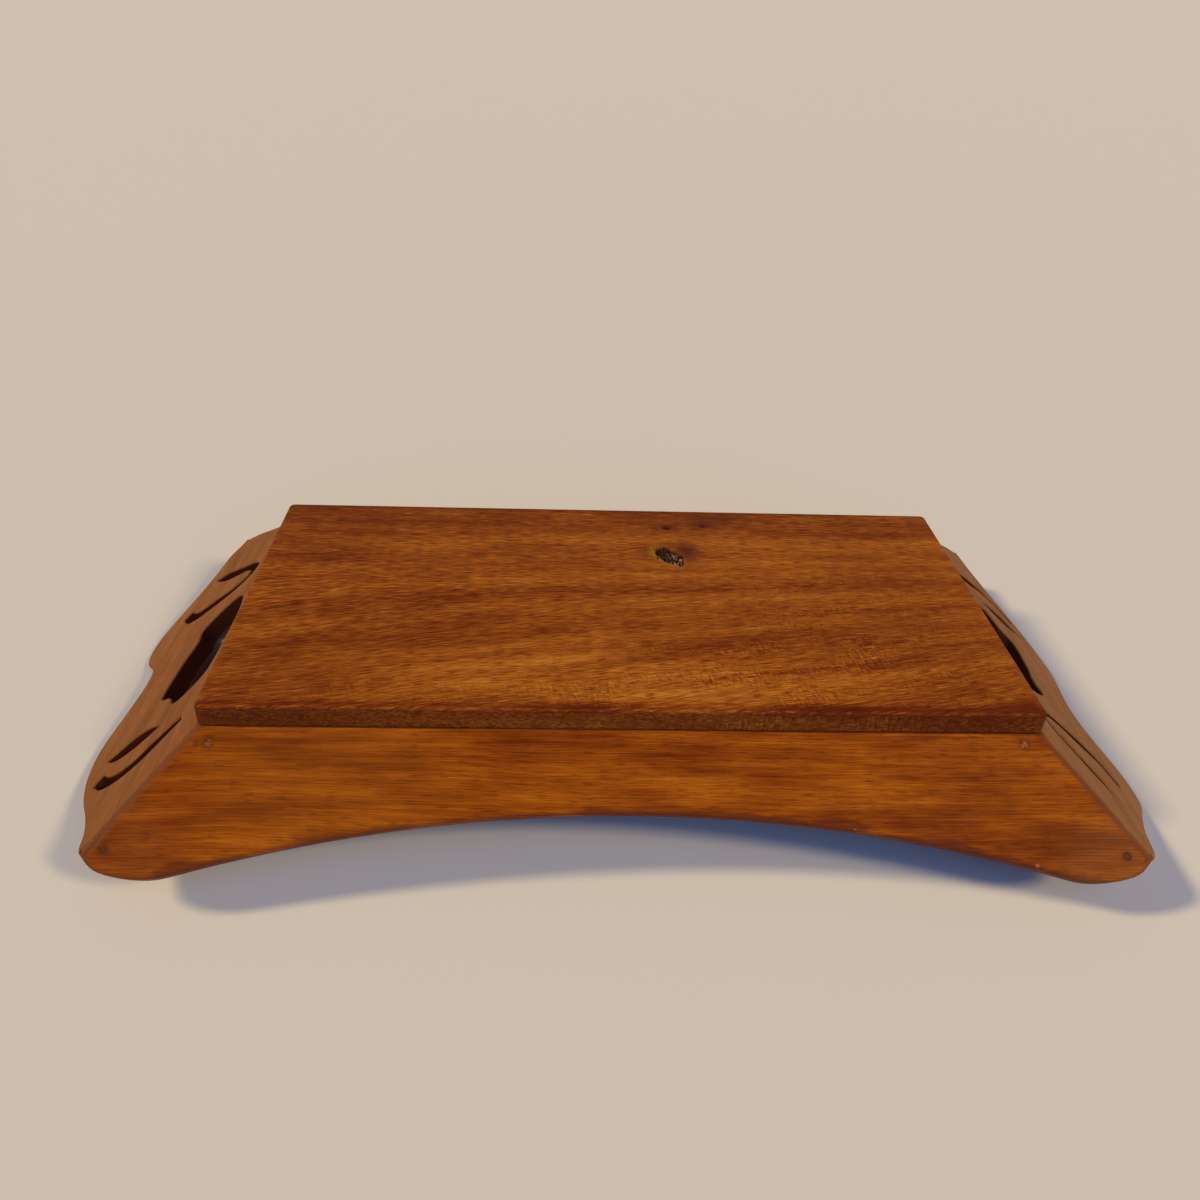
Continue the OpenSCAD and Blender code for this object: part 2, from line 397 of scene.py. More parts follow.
def empty_material(name):
    """A new material and its node tree, with no nodes yet."""
    material = bpy.data.materials.new(name)
    material.use_nodes = True
    material.node_tree.nodes.clear()
    return material, material.node_tree


def finished_wood(name, lay_out, look):
    """A wood material. lay_out(tree) gives the grain, a shade, a figure, and colours to lay over the wood."""
    material, tree = empty_material(name)
    straight, shade, figure, overlays = lay_out(tree)
    grain, wave = rippled(tree, straight, look, figure)
    tone, layers = wood_tone(tree, grain, look, shade, wave)
    pore_noise = streaks(tree, grain, PORE_SIZE, detail=0.0, shift=look["seed"] + LAYER_SEEDS["pore"])
    pores = add_node(tree, "ShaderNodeMapRange", {
        "Value": pore_noise, "From Min": look["pore_start"], "From Max": look["pore_start"] + PORE_EDGE,
        "To Max": look["pore_depth"]}, interpolation_type="SMOOTHSTEP").outputs[0]
    ramp = add_node(tree, "ShaderNodeValToRGB", {"Fac": tone})
    set_stops(ramp, look["tones"])
    colour = ramp.outputs[0]
    for amount, overlay in [(pores, look["pore_colour"])] + overlays:
        mixed = add_node(
            tree, "ShaderNodeMix",
            {0: amount, LOWER_COLOUR: colour, UPPER_COLOUR: linear(overlay)}, data_type="RGBA")
        colour = mixed.outputs[MIXED_COLOUR]
    fibre_relief = add_node(
        tree, "ShaderNodeMath", {0: layers["fibre"], 1: look["relief"]}, operation="MULTIPLY")
    height = add_node(
        tree, "ShaderNodeMath",
        {0: pores, 1: -look["relief"], 2: fibre_relief.outputs[0]}, operation="MULTIPLY_ADD")
    bump = add_node(tree, "ShaderNodeBump", {"Strength": 1.0, "Distance": MM, "Height": height.outputs[0]})
    least_roughness = look["roughness"] - look["roughness_spread"] / 2
    roughness = add_node(
        tree, "ShaderNodeMath",
        {0: layers["streak"], 1: look["roughness_spread"], 2: least_roughness}, operation="MULTIPLY_ADD")
    shader = add_node(tree, "ShaderNodeBsdfPrincipled", {
        "Base Color": colour,
        "Roughness": roughness.outputs[0],
        "Specular IOR Level": look["specular"],
        "Normal": bump.outputs[0],
    })
    add_node(tree, "ShaderNodeOutputMaterial", {"Surface": shader.outputs[0]})
    print(name, "has", len(tree.nodes), "nodes")
    return material


print("Pores are", PORE_SIZE[0], "mm long and drawn", PORE_SIZE[1], "mm wide")

# %% [markdown]
# ## The base board
#
# The board is one planed plank, 9 mm thick, with edges softened by hand. Near its far edge sits a knot whose
# heart has broken out into a dark, fibrous hollow with a few pale splinters. Two pin knots lie behind it, and
# a drying crack runs in from the left edge. These are real hollows, so they are cut into the mesh.
#
# A plain box can't carry them, and a box with a rounded edge from a modifier has no vertices where the knot
# is. So the board is a box made of grid lines, close together at its edges and across the knot, and each
# vertex is then pushed onto the rounded shape and down into the hollows.

# %% Grid lines of the board
EDGE_STEPS = [0, 0.12, 0.3, 0.55, 0.85, 1.2, 1.7, 2.4]
COARSE_STEP = 3.0
SLIVER = COARSE_STEP / 10
board_size = (board_high - board_low) / MM
half_x = board_size.x / 2
half_y = board_size.y / 2
thick = board_size.z
# Each fine range: where it starts and ends, and the step of its lines, in mm
FINE_COLUMNS = [(-half_x, -122, 1.2), (15, 45, 0.28)]
FINE_ROWS = [(20, 48, 0.4), (56, 66, 0.4)]


def grid_lines(low, high, fine_ranges):
    """Places of grid lines in mm: close at both ends, and at a given step in each fine range."""
    last = high - EDGE_STEPS[-1]
    lines = {low + step for step in EDGE_STEPS} | {high - step for step in EDGE_STEPS}
    place = low + EDGE_STEPS[-1]
    while place < last:
        lines.add(place)
        steps = [step for start, end, step in fine_ranges if start <= place < end]
        place += steps[0] if steps else COARSE_STEP
        if last - place < SLIVER:
            place = last
    return sorted(lines)


board_lines = [
    grid_lines(-half_x, half_x, FINE_COLUMNS),
    grid_lines(-half_y, half_y, FINE_ROWS),
    sorted({*EDGE_STEPS} | {thick - step for step in EDGE_STEPS} | {thick / 2}),
]
print("Grid lines along, across and up:", [len(lines) for lines in board_lines])

# %% [markdown]
# Only the skin of the box is needed. Its faces are the cells of the grid on its six sides, and neighbours
# share their vertices, so that the skin is closed from the start.

# %% Box made of grid lines


def grid_box(lines):
    """Outer vertices and faces of a box cut along these grid lines, given for x, y and z."""
    numbers = {}
    places = []
    faces = []

    def vertex(cell):
        if cell not in numbers:
            numbers[cell] = len(places)
            places.append([lines[axis][cell[axis]] for axis in range(3)])
        return numbers[cell]

    for axis in range(3):
        first = (axis + 1) % 3
        second = (axis + 2) % 3
        for end in (0, len(lines[axis]) - 1):
            for i in range(len(lines[first]) - 1):
                for j in range(len(lines[second]) - 1):
                    corners = []
                    for step_i, step_j in ((0, 0), (1, 0), (1, 1), (0, 1)):
                        cell = [end, end, end]
                        cell[first] = i + step_i
                        cell[second] = j + step_j
                        corners.append(vertex(tuple(cell)))
                    faces.append(corners if end else corners[::-1])
    return places, faces


box_places, board_faces = grid_box(board_lines)
print("Board has", len(box_places), "vertices")

# %% [markdown]
# Sanding is a rule that works on any vertex. In plan, the four upright corners are rounded: what lies in a
# corner's square is drawn in to a quarter circle. Then the same is done upright, between the side and the
# top or the bottom. Flat faces stay where they are.

# %% Sand the edges of the board
CORNER_RADIUS = 2.6
EDGE_RADIUS = 1.3


def clamped(value, limit):
    """The value, kept between minus the limit and the limit."""
    return max(-limit, min(limit, value))


def sanded_place(x, y, z):
    """A vertex of the box, in mm, moved onto the sanded board."""
    core = Vector((clamped(x, half_x - CORNER_RADIUS), clamped(y, half_y - CORNER_RADIUS)))
    outwards = Vector((x, y)) - core
    reach = max(abs(outwards.x), abs(outwards.y))
    upper = z > thick / 2
    depth = thick - z if upper else z
    in_round = Vector((reach - CORNER_RADIUS + EDGE_RADIUS, EDGE_RADIUS - depth))
    if min(in_round) > 0:
        in_round = in_round.normalized() * max(in_round)
        reach = CORNER_RADIUS - EDGE_RADIUS + in_round.x
        depth = EDGE_RADIUS - in_round.y
    plan = core + outwards.normalized() * reach
    return Vector((plan.x, plan.y, thick - depth if upper else depth))


sanded_places = [sanded_place(*place) for place in box_places]
print("Edge radius in mm:", EDGE_RADIUS, "corners", CORNER_RADIUS)

# %% [markdown]
# Much on the board has a soft or ragged outline: its hollows, its bruises, its light and dark areas. Three
# rules draw them all: a soft step from off to on, the distance from the middle of a slanted oval, and noise.
# They are plain Python and not nodes of a material, because the hollows change the mesh too.

# %% Rules for soft shapes


def smooth_step(value):
    """0 below 0, 1 above 1, and a soft change between."""
    value = max(0.0, min(1.0, value))
    return value * value * (3 - 2 * value)


def oval_radius(x, y, middle, half_length, half_width, slope=0.0):
    """Distance from the middle of a slanted oval, where 1 is its outline."""
    off_x = x - middle[0]
    off_y = y - middle[1] - slope * off_x
    return math.hypot(off_x / half_length, off_y / half_width)


def rough(x, y, strength, rate_x, rate_y, layer, slant=0.0):
    """Noise on the board, between minus and plus its strength."""
    return strength * noise.noise(Vector((x * rate_x, y * rate_y + x * slant, layer)))


print("Soft step a quarter, half and three quarters on:", [smooth_step(part / 4) for part in (1, 2, 3)])

# %% [markdown]
# The hollows are slanted ovals with a torn outline and a fibrous floor. A branch grew through the board here,
# so its broken fibres stand across the grain: the noise that tears the outline and furrows the floor is drawn
# out in that direction. The drying crack is a groove that narrows as it runs into the board.

# %% Hollows in the board
# Each hollow: its middle, half its length and width in mm, its slope, its depth
KNOT = ((23.6, 34.3), 5.9, 7.0, -0.65, 1.8)
PIN_KNOT = ((24.9, 60.0), 1.9, 1.9, 0.2, 0.9)
HOLLOWS = [
    KNOT,
    ((26.3, 26.9), 2.8, 1.9, -0.5, 1.6),
    ((18.6, 31.7), 0.8, 1.1, 0.0, 0.8),
    PIN_KNOT,
    ((41.5, 62.4), 1.6, 1.6, 0.0, 0.7),
]
# Where a hollow starts and how wide its bank is, as shares of the oval
HOLLOW_RIM = 1.1
HOLLOW_BANK = 0.4
# How strong the noise is, its rates per mm along and across the board, and its own layer
TEAR = (0.30, 0.9, 0.25, 2.0)
FURROW = (0.75, 1.4, 0.16, 7.0)
FURROW_SLANT = 0.1
CRACK_START = -half_x
CRACK_END = -123.0
CRACK_PLACE = 32.7
CRACK_CLIMB = 0.6
CRACK_WANDER = (0.4, 0.2, 0.0, 5.0)
CRACK_HALF_WIDTH = 0.5
CRACK_DEPTH = 0.8


def hollow_depth(x, y):
    """How deep the board's top is hollowed at a place, in mm."""
    depth = 0.0
    tear = rough(x, y, *TEAR)
    furrow = 1 + rough(x, y, *FURROW, FURROW_SLANT)
    for *oval, deepest in HOLLOWS:
        inside = smooth_step((HOLLOW_RIM - oval_radius(x, y, *oval) - tear) / HOLLOW_BANK)
        depth = max(depth, deepest * furrow * inside)
    along = (x - CRACK_START) / (CRACK_END - CRACK_START)
    if along < 1:
        crack_y = CRACK_PLACE + CRACK_CLIMB * along + rough(x, y, *CRACK_WANDER)
        narrowing = math.sqrt(1 - along)
        groove = 1 - abs(y - crack_y) / (CRACK_HALF_WIDTH * narrowing)
        depth = max(depth, CRACK_DEPTH * narrowing * max(0.0, groove))
    return depth


print("Depth in the middle of each hollow in mm:", [round(hollow_depth(*hollow[0]), 1) for hollow in HOLLOWS])

# %% [markdown]
# The grain flows round the knot like water round a stone. That flow has a simple rule: the sideways distance
# from the knot shrinks close to it, so lines of equal distance bulge around it. Away from the knot the grain
# climbs to the right in the near half of the board and runs level in the far half.

# %% Grain of the board
KNOT_SPREAD = 8.5
KNOT_STRETCH = 1.5
PIN_KNOT_SPREAD = 2.4
NEAR_CLIMB = 0.20
CLIMB_START = 45
CLIMB_SPAN = 90
# On the board's edges the grain lies closer than on its top
EDGE_FINENESS = 2.0


def bent_grain(x, y, z):
    """Plank coordinates of a place on the board, bent round its knots."""
    near = smooth_step((CLIMB_START - y) / CLIMB_SPAN)
    across = y - NEAR_CLIMB * near * x
    for middle, spread in ((KNOT[0], KNOT_SPREAD), (PIN_KNOT[0], PIN_KNOT_SPREAD)):
        away = Vector((x - middle[0], y - middle[1]))
        stretched = (away.x / KNOT_STRETCH) ** 2 + away.y ** 2
        across -= away.y * spread ** 2 / (stretched + spread ** 2)
    return Vector((x, across, EDGE_FINENESS * (z - thick)))


in_front = KNOT[0][1] - KNOT_SPREAD
bulge = bent_grain(KNOT[0][0], in_front, thick).y - in_front
print("In front of the knot the grain bulges by", round(bulge, 1), "mm")

# %% [markdown]
# The board's large light and dark areas don't come from noise, because they have a place on the real one:
# a golden strip along the near edge, a darker far edge, a purplish bruise by the knot. Painting them by hand
# would need a picture, so each is a soft oval, and where ovals overlap they add up.

# %% Soft ovals of the board
# Each soft oval: its middle, half its length and width in mm, its slope, and its strength
SHADES = [
    ((-5, -62), 85, 13, 0.03, 0.18),
    ((-30, -46), 55, 12, 0.10, 0.08),
    ((-75, 32), 40, 12, 0.0, 0.10),
    ((-20, 12), 110, 6, 0.10, 0.09),
    ((-80, -20), 30, 12, 0.15, -0.10),
    ((-125, -62), 40, 14, 0.05, -0.15),
    ((40, -36), 45, 4, 0.25, -0.18),
    ((70, -52), 50, 3, 0.20, -0.14),
    ((115, -40), 45, 40, 0.10, -0.10),
    ((115, 30), 40, 30, 0.0, -0.10),
    ((0, 74), 200, 12, 0.0, -0.12),
    ((0, 78), 220, 2.6, 0.0, -0.32),
    ((-140, 60), 40, 40, 0.0, -0.06),
]
BRUISES = [
    ((32.0, 38.0), 6.0, 8.5, 0.0, 0.85),
    ((13.0, 38.4), 2.6, 6.0, 0.0, 0.45),
    ((24.9, 60.0), 6.0, 4.0, 0.0, 0.55),
    ((41.5, 62.4), 5.0, 3.5, 0.0, 0.50),
    ((47.2, 67.6), 18.0, 6.0, 0.0, 0.55),
    ((23.6, 34.3), 9.0, 11.0, -0.6, 0.30),
]
FIGURES = [((70, -45), 80, 24, 0.1, 0.8), ((10, -66), 140, 9, 0.0, 0.6), ((90, 0), 50, 25, 0.0, 0.6)]
EDGE_FIGURES = [((62, -77.5), 70, 4, 0.0, 1.3)]


def oval_sum(x, y, ovals):
    """Adds up soft ovals, each at its full strength in its middle and nearly gone outside it."""
    return sum(math.exp(-oval_radius(x, y, *oval) ** 2) * strength for *oval, strength in ovals)


print("Shade in the middle of the near strip:", round(oval_sum(*SHADES[0][0], SHADES), 2))

# %% [markdown]
# A few marks aren't ovals. A dark band lies along the near edge, the knot has a paler rim at its near left,
# and the eye of the knot is where the broken fibres stand. Each is a small rule of its own.

# %% Band, rim and eye
NEAR_BAND_PLACE = -75.6
NEAR_BAND_WIDTH = 2.4
NEAR_BAND_DEPTH = 0.252
NEAR_BAND_CHANGE = (1.0, 0.02, 0.0, 9.0)
# Where the eye fades and where the paler rim lies, as shares of the knot's oval
EYE_BANK = 0.25
OCHRE_RADIUS = 1.22
OCHRE_WIDTH = 0.28
OCHRE_STRENGTH = 0.85
OCHRE_LEAST = 0.08
OCHRE_FADE = 12


def near_band_at(x, y):
    """The dark band on the top along the near edge, deeper in some places than in others."""
    depth = NEAR_BAND_DEPTH * (1 + rough(x, y, *NEAR_BAND_CHANGE))
    return -depth * math.exp(-((y - NEAR_BAND_PLACE) / NEAR_BAND_WIDTH) ** 2)


def eye_at(x, y):
    """1 inside the knot's hollow, 0 outside."""
    return smooth_step((1.0 - oval_radius(x, y, *KNOT[:4])) / EYE_BANK)


def ochre_at(x, y):
    """The paler rim of the knot, strongest at its near left."""
    beyond = x - KNOT[0][0] + y - KNOT[0][1]
    rim = max(0.0, 1 - abs(oval_radius(x, y, *KNOT[:4]) - OCHRE_RADIUS) / OCHRE_WIDTH)
    near_left = smooth_step(0.5 - beyond / OCHRE_FADE)
    return OCHRE_STRENGTH * rim * (OCHRE_LEAST + (1 - OCHRE_LEAST) * near_left)


print("Shade in the middle of the near band:", round(near_band_at(0, NEAR_BAND_PLACE), 2))

# %% [markdown]
# Now the board is put together. Its material reads a few attributes of the mesh: the bent grain, the soft
# ovals, the knot's rim and how deep a hollow is. The deeper a hollow, the darker it is painted: the knot's
# own dark heart, and painted shade in the deep hollows and the crack. The places are turned into metres and
# raised to the seat.

# %% Build the board
FULLY_SHADED_DEPTH = 1.3


def new_piece(name, mesh):
    """An object for a finished mesh, linked to the scene."""
    piece = bpy.data.objects.new(name, mesh)
    bpy.context.scene.collection.objects.link(piece)
    return piece


def store(mesh, name, values, kind="FLOAT"):
    """Stores one number or vector per vertex on a mesh."""
    attribute = mesh.attributes.new(name, kind, "POINT")
    flat = [number for value in values for number in value] if kind == "FLOAT_VECTOR" else values
    attribute.data.foreach_set("vector" if kind == "FLOAT_VECTOR" else "value", flat)


on_top = [p.z > thick - EDGE_RADIUS for p in sanded_places]
hollows = [hollow_depth(p.x, p.y) if top else 0.0 for p, top in zip(sanded_places, on_top)]
board_places = [p - Vector((0, 0, depth)) for p, depth in zip(sanded_places, hollows)]
board_mesh = bpy.data.meshes.new("sanded_board")
board_mesh.from_pydata([(p * MM) + Vector((0, 0, SEAT)) for p in board_places], [], board_faces)
board_mesh.shade_smooth()
store(board_mesh, "grain", [bent_grain(*p) for p in board_places], "FLOAT_VECTOR")
store(board_mesh, "bruise", [oval_sum(p.x, p.y, BRUISES) for p in board_places])
store(board_mesh, "figure", [
    oval_sum(p.x, p.y, FIGURES if top else EDGE_FIGURES) for p, top in zip(board_places, on_top)])
store(board_mesh, "shade", [
    oval_sum(p.x, p.y, SHADES) + (near_band_at(p.x, p.y) if top else 0.0)
    for p, top in zip(board_places, on_top)])
store(board_mesh, "ochre", [ochre_at(p.x, p.y) for p in board_places])
store(board_mesh, "eye", [eye_at(p.x, p.y) if p.z > thick / 2 else 0.0 for p in board_places])
# How deep a hollow is; the material paints it darker, the knot's dark heart and painted shade
store(board_mesh, "hollow", [min(1.0, depth / FULLY_SHADED_DEPTH) for depth in hollows])
board = new_piece("sanded_board", board_mesh)
print("Board's deepest hollow in mm:", round(max(hollows), 2), "faces", len(board_mesh.polygons))

# %% [markdown]
# The board's finish is rubbed oil. A thick film would need a clear coat over the colour, but oil leaves no
# film: the pores stay open and the colour is deep. The faces of the board's edges are painted darker than its
# top: partly the oil that the end grain soaks up, and partly painted shade on faces that turn away from the
# light above. Which face a place lies on is told by the surface normal.

# %% Oiled board
# Oiled mahogany gives the eye a deep red-brown with a satin sheen, fine dark pores and a golden shimmer
BOARD_LOOK = {
    "seed": 3.0, "band": 0.80, "streak": 0.60, "fibre": 1.15, "blotch": 0.34,
    "streak_size": STREAK_SIZE, "fibre_size": FIBRE_SIZE,
    "ripple": 1.1, "ripple_reach": 1.2, "slant": -16,
    "tones": {0.0: "#401501", 0.28: "#662606", 0.5: "#87420e", 0.72: "#a45a18", 1.0: "#bf7729"},
    "pore_start": 0.57, "pore_depth": 0.65, "pore_colour": "#4a1a06", "relief": 0.05,
    "roughness": 0.55, "roughness_spread": 0.20, "specular": 0.04,
}
BOARD_SWAY = 9.0
BOARD_EDGE_OIL_AND_SHADE_COLOUR = "#451a06"
BRUISE_COLOUR = "#43170f"
OCHRE_COLOUR = "#875c22"
# Painted shade in the deep hollows and the crack, over the knot's own dark heart
HOLLOW_SHADE_COLOUR = "#22110b"
EDGE_OIL_AND_SHADE = 0.70
# Upward part of the normal where the darkening starts, and where it is full
EDGE_NORMALS = (0.9, 0.2)


def board_layout(tree):
    """Grain and overlays of the board, from the attributes of its mesh."""
    stored = {
        name: add_node(tree, "ShaderNodeAttribute", attribute_name=name)
        for name in ("grain", "shade", "bruise", "figure", "ochre", "hollow")
    }
    amounts = {name: node.outputs["Fac"] for name, node in stored.items()}
    grain = swayed(tree, stored["grain"].outputs["Vector"], BOARD_SWAY, BOARD_LOOK["seed"])
    face = add_node(tree, "ShaderNodeNewGeometry")
    upward = add_node(tree, "ShaderNodeSeparateXYZ", {0: face.outputs["Normal"]})
    # Painted shade, with the end grain's oil: faces that don't look up are darkened by their normal
    edge_oil_and_shade = add_node(tree, "ShaderNodeMapRange", {
        "Value": upward.outputs["Z"], "From Min": EDGE_NORMALS[0], "From Max": EDGE_NORMALS[1],
        "To Max": EDGE_OIL_AND_SHADE})
    overlays = [
        (edge_oil_and_shade.outputs[0], BOARD_EDGE_OIL_AND_SHADE_COLOUR),
        (amounts["bruise"], BRUISE_COLOUR),
        (amounts["ochre"], OCHRE_COLOUR),
        (amounts["hollow"], HOLLOW_SHADE_COLOUR),
    ]
    return grain, amounts["shade"], amounts["figure"], overlays


board_mesh.materials.append(finished_wood("oiled_mahogany_board", board_layout, BOARD_LOOK))
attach(board, "root")
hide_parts("base_board")

# %% [markdown]
# ## Torn fibres in the knot
#
# In the knot's hollow the broken fibres still stand: dark slivers across the grain, and a few pale ones at
# the near right where the wood broke last. They repeat and follow the hollow's floor, so a Geometry Nodes
# tree strews points over the faces that are marked as the eye of the knot, and sets a thin cone on each. A
# fibre's paleness depends on where it stands and on chance, and is stored for the material.
#
# The nails will be made by such a tree as well, so what both trees share comes first: how a tree starts, how
# it draws a number by chance, and how it ends.

# %% Start and end of a node tree
# Numbers of a Random Value node's sockets for its least and its greatest number, and for the drawn number
LEAST = 2
GREATEST = 3
DRAWN = 1


def node_group(name, sizes):
    """An empty Geometry Nodes tree with a geometry, these sizes, a seed and a material as inputs."""
    tree = bpy.data.node_groups.new(name, "GeometryNodeTree")
    tree.interface.new_socket("Geometry", in_out="OUTPUT", socket_type="NodeSocketGeometry")
    tree.interface.new_socket("Geometry", in_out="INPUT", socket_type="NodeSocketGeometry")
    for size in sizes:
        tree.interface.new_socket(size, in_out="INPUT", socket_type="NodeSocketFloat")
    tree.interface.new_socket("Seed", in_out="INPUT", socket_type="NodeSocketInt")
    tree.interface.new_socket("Material", in_out="INPUT", socket_type="NodeSocketMaterial")
    return tree


def either_way(tree, reach, seed):
    """A random number for every point, between minus this reach and the reach."""
    least = add_node(tree, "ShaderNodeMath", {0: reach, 1: -1.0}, operation="MULTIPLY")
    drawn = add_node(
        tree, "FunctionNodeRandomValue", {LEAST: least.outputs[0], GREATEST: reach, "Seed": seed},
        data_type="FLOAT")
    return drawn.outputs[DRAWN]


def end_tree(tree, instances, material):
    """Ends a tree: its instances become real meshes of one material."""
    real = add_node(tree, "GeometryNodeRealizeInstances", {"Geometry": instances})
    finished = add_node(
        tree, "GeometryNodeSetMaterial", {"Geometry": real.outputs[0], "Material": material})
    add_node(tree, "NodeGroupOutput", {"Geometry": finished.outputs[0]})


print("Vertices in the eye of the knot:", sum(value.value > 0 for value in board_mesh.attributes["eye"].data))

# %% [markdown]
# A tree works as a modifier of an object. It could stay one, but a plain mesh can be measured, and nothing
# about it changes later. So the tree runs once on a draft object, its result is kept, and the draft goes.

# %% Run a node tree


def made_by_nodes(name, mesh, tree, inputs):
    """The plain mesh that a Geometry Nodes tree makes from a mesh, with its inputs set by their names."""
    draft = new_piece(name + "_draft", mesh)
    modifier = draft.modifiers.new(name, "NODES")
    modifier.node_group = tree
    for socket in tree.interface.items_tree:
        if socket.in_out == "INPUT" and socket.name in inputs:
            modifier[socket.identifier] = inputs[socket.name]
    evaluated = draft.evaluated_get(bpy.context.evaluated_depsgraph_get())
    plain = bpy.data.meshes.new_from_object(evaluated)
    bpy.data.objects.remove(draft)
    plain.name = name
    print(name, "made by", len(tree.nodes), "nodes:", len(plain.polygons), "faces")
    return plain


# %% [markdown]
# The tree itself has three parts. The first strews the points and stores how pale each is, the second makes
# one cone, and the third lays a cone on every point, across the grain and leaning a little at random.

# %% Fibre tree
FIBRE_SIZES = {"Density": 0.75 / MM ** 2, "Fibre Length": 4.2 * MM, "Fibre Width": 0.55 * MM,
               "Lean": math.radians(9), "Pale From": 20.5 * MM, "Pale To": 28.5 * MM}
FIBRE_SEED = 12
FIBRE_SIDES = 5
FIBRE_SCALES = (0.4, 1.0)
PALE_CHANCES = (-0.1, 1.1)
EYE_LIMIT = 0.5


def fibre_tree():
    """Tree that strews thin cones over the faces marked by the attribute eye."""
    tree = node_group("knot_fibres", FIBRE_SIZES)
    sizes = add_node(tree, "NodeGroupInput").outputs
    eye = add_node(tree, "GeometryNodeInputNamedAttribute", {"Name": "eye"}, data_type="FLOAT")
    in_eye = add_node(tree, "FunctionNodeCompare", {0: eye.outputs["Attribute"], 1: EYE_LIMIT})
    strewn = add_node(tree, "GeometryNodeDistributePointsOnFaces", {
        "Mesh": sizes["Geometry"], "Selection": in_eye.outputs[0], "Density": sizes["Density"],
        "Seed": sizes["Seed"]})
    where = add_node(tree, "GeometryNodeInputPosition")
    along = add_node(tree, "ShaderNodeSeparateXYZ", {0: where.outputs[0]})
    side = add_node(tree, "ShaderNodeMapRange", {
        "Value": along.outputs["X"], "From Min": sizes["Pale From"], "From Max": sizes["Pale To"]})
    chance = add_node(
        tree, "FunctionNodeRandomValue",
        {LEAST: PALE_CHANCES[0], GREATEST: PALE_CHANCES[1], "Seed": sizes["Seed"]}, data_type="FLOAT")
    paleness = add_node(
        tree, "ShaderNodeMath",
        {0: side.outputs[0], 1: chance.outputs[DRAWN]}, operation="MULTIPLY", use_clamp=True)
    marked = add_node(tree, "GeometryNodeStoreNamedAttribute", {
        "Geometry": strewn.outputs["Points"], "Name": "pale", "Value": paleness.outputs[0],
    }, data_type="FLOAT")
    fibre = add_node(tree, "GeometryNodeMeshCone", {
        "Vertices": FIBRE_SIDES, "Radius Top": 0.0, "Radius Bottom": sizes["Fibre Width"],
        "Depth": sizes["Fibre Length"]})
    lean = either_way(tree, sizes["Lean"], sizes["Seed"])
    lying = add_node(tree, "ShaderNodeMath", {0: lean, 1: math.pi / 2})
    turn = add_node(tree, "ShaderNodeCombineXYZ", {"X": lying.outputs[0], "Z": lean})
    scale = add_node(
        tree, "FunctionNodeRandomValue",
        {LEAST: FIBRE_SCALES[0], GREATEST: FIBRE_SCALES[1], "Seed": sizes["Seed"]}, data_type="FLOAT")
    laid = add_node(tree, "GeometryNodeInstanceOnPoints", {
        "Points": marked.outputs[0], "Instance": fibre.outputs["Mesh"], "Rotation": turn.outputs[0],
        "Scale": scale.outputs[DRAWN]})
    end_tree(tree, laid.outputs[0], sizes["Material"])
    return tree


print("Fibres in mm:", FIBRE_SIZES["Fibre Length"] / MM, "long,", FIBRE_SIZES["Fibre Width"] / MM, "wide")

# %% [markdown]
# Wood that broke and was never oiled is dull. The fibres get one material for dark and pale alike: a colour
# ramp, read at the paleness that the tree has stored.

# %% Set the fibres in the knot
FLECK_SIZE = (0.5, 2.0, 0.5)
FIBRE_TONES = {0.0: "#2f1910", 0.15: "#4c2f1d", 0.35: "#86694a", 0.7: "#ab936e"}
FIBRE_ROUGHNESS = 0.8
FIBRE_SPECULAR = 0.1


def torn_fibre_wood():
    """Bare broken fibres: matt, from nearly black to pale straw by the attribute pale."""
    # Torn mahogany gives the eye dry, lightless slivers, with a few that glint pale like straw
    material, tree = empty_material("torn_mahogany_fibres")
    place = add_node(tree, "ShaderNodeTexCoord").outputs["Object"]
    in_mm = add_node(tree, "ShaderNodeMapping", {"Vector": place, "Scale": (1 / MM, 1 / MM, 1 / MM)})
    flecks = streaks(tree, in_mm.outputs[0], FLECK_SIZE, detail=1.0)
    pale = add_node(tree, "ShaderNodeAttribute", attribute_name="pale")
    tone = add_node(tree, "ShaderNodeMath", {0: flecks, 1: pale.outputs["Fac"]}, operation="MULTIPLY")
    ramp = add_node(tree, "ShaderNodeValToRGB", {"Fac": tone.outputs[0]})
    set_stops(ramp, FIBRE_TONES)
    shader = add_node(tree, "ShaderNodeBsdfPrincipled", {
        "Base Color": ramp.outputs[0], "Roughness": FIBRE_ROUGHNESS, "Specular IOR Level": FIBRE_SPECULAR})
    add_node(tree, "ShaderNodeOutputMaterial", {"Surface": shader.outputs[0]})
    return material


fibre_inputs = {**FIBRE_SIZES, "Seed": FIBRE_SEED, "Material": torn_fibre_wood()}
fibre_mesh = made_by_nodes("knot_fibres", board_mesh, fibre_tree(), fibre_inputs)
fibres = new_piece("knot_fibres", fibre_mesh)
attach(fibres, "root")
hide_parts("base_board")

# %% [markdown]
# ## The walls
#
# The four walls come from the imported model, whose edges are all sharp. On the real tray every edge was taken
# off by hand: the rims most, the sawn cuts a little, and the mitred ridges to a soft round.
#
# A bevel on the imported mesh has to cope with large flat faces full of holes, and it tears at the tips. But a
# wall is a simple thing: an outline with holes that goes straight through a plank. So its outlines are read
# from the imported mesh, smoothed, and lofted anew. Rings of vertices run round every outline, from the outer
# face over the rounded edges to the inner face, and the two flat faces are filled between the outlines.
#
# An outline is a list of columns. Each column is a place on the outer face and the place where the same edge
# reaches the inner face, both in the plank's own directions. On a rim both are alike, and on a mitre or at
# the seat they differ.

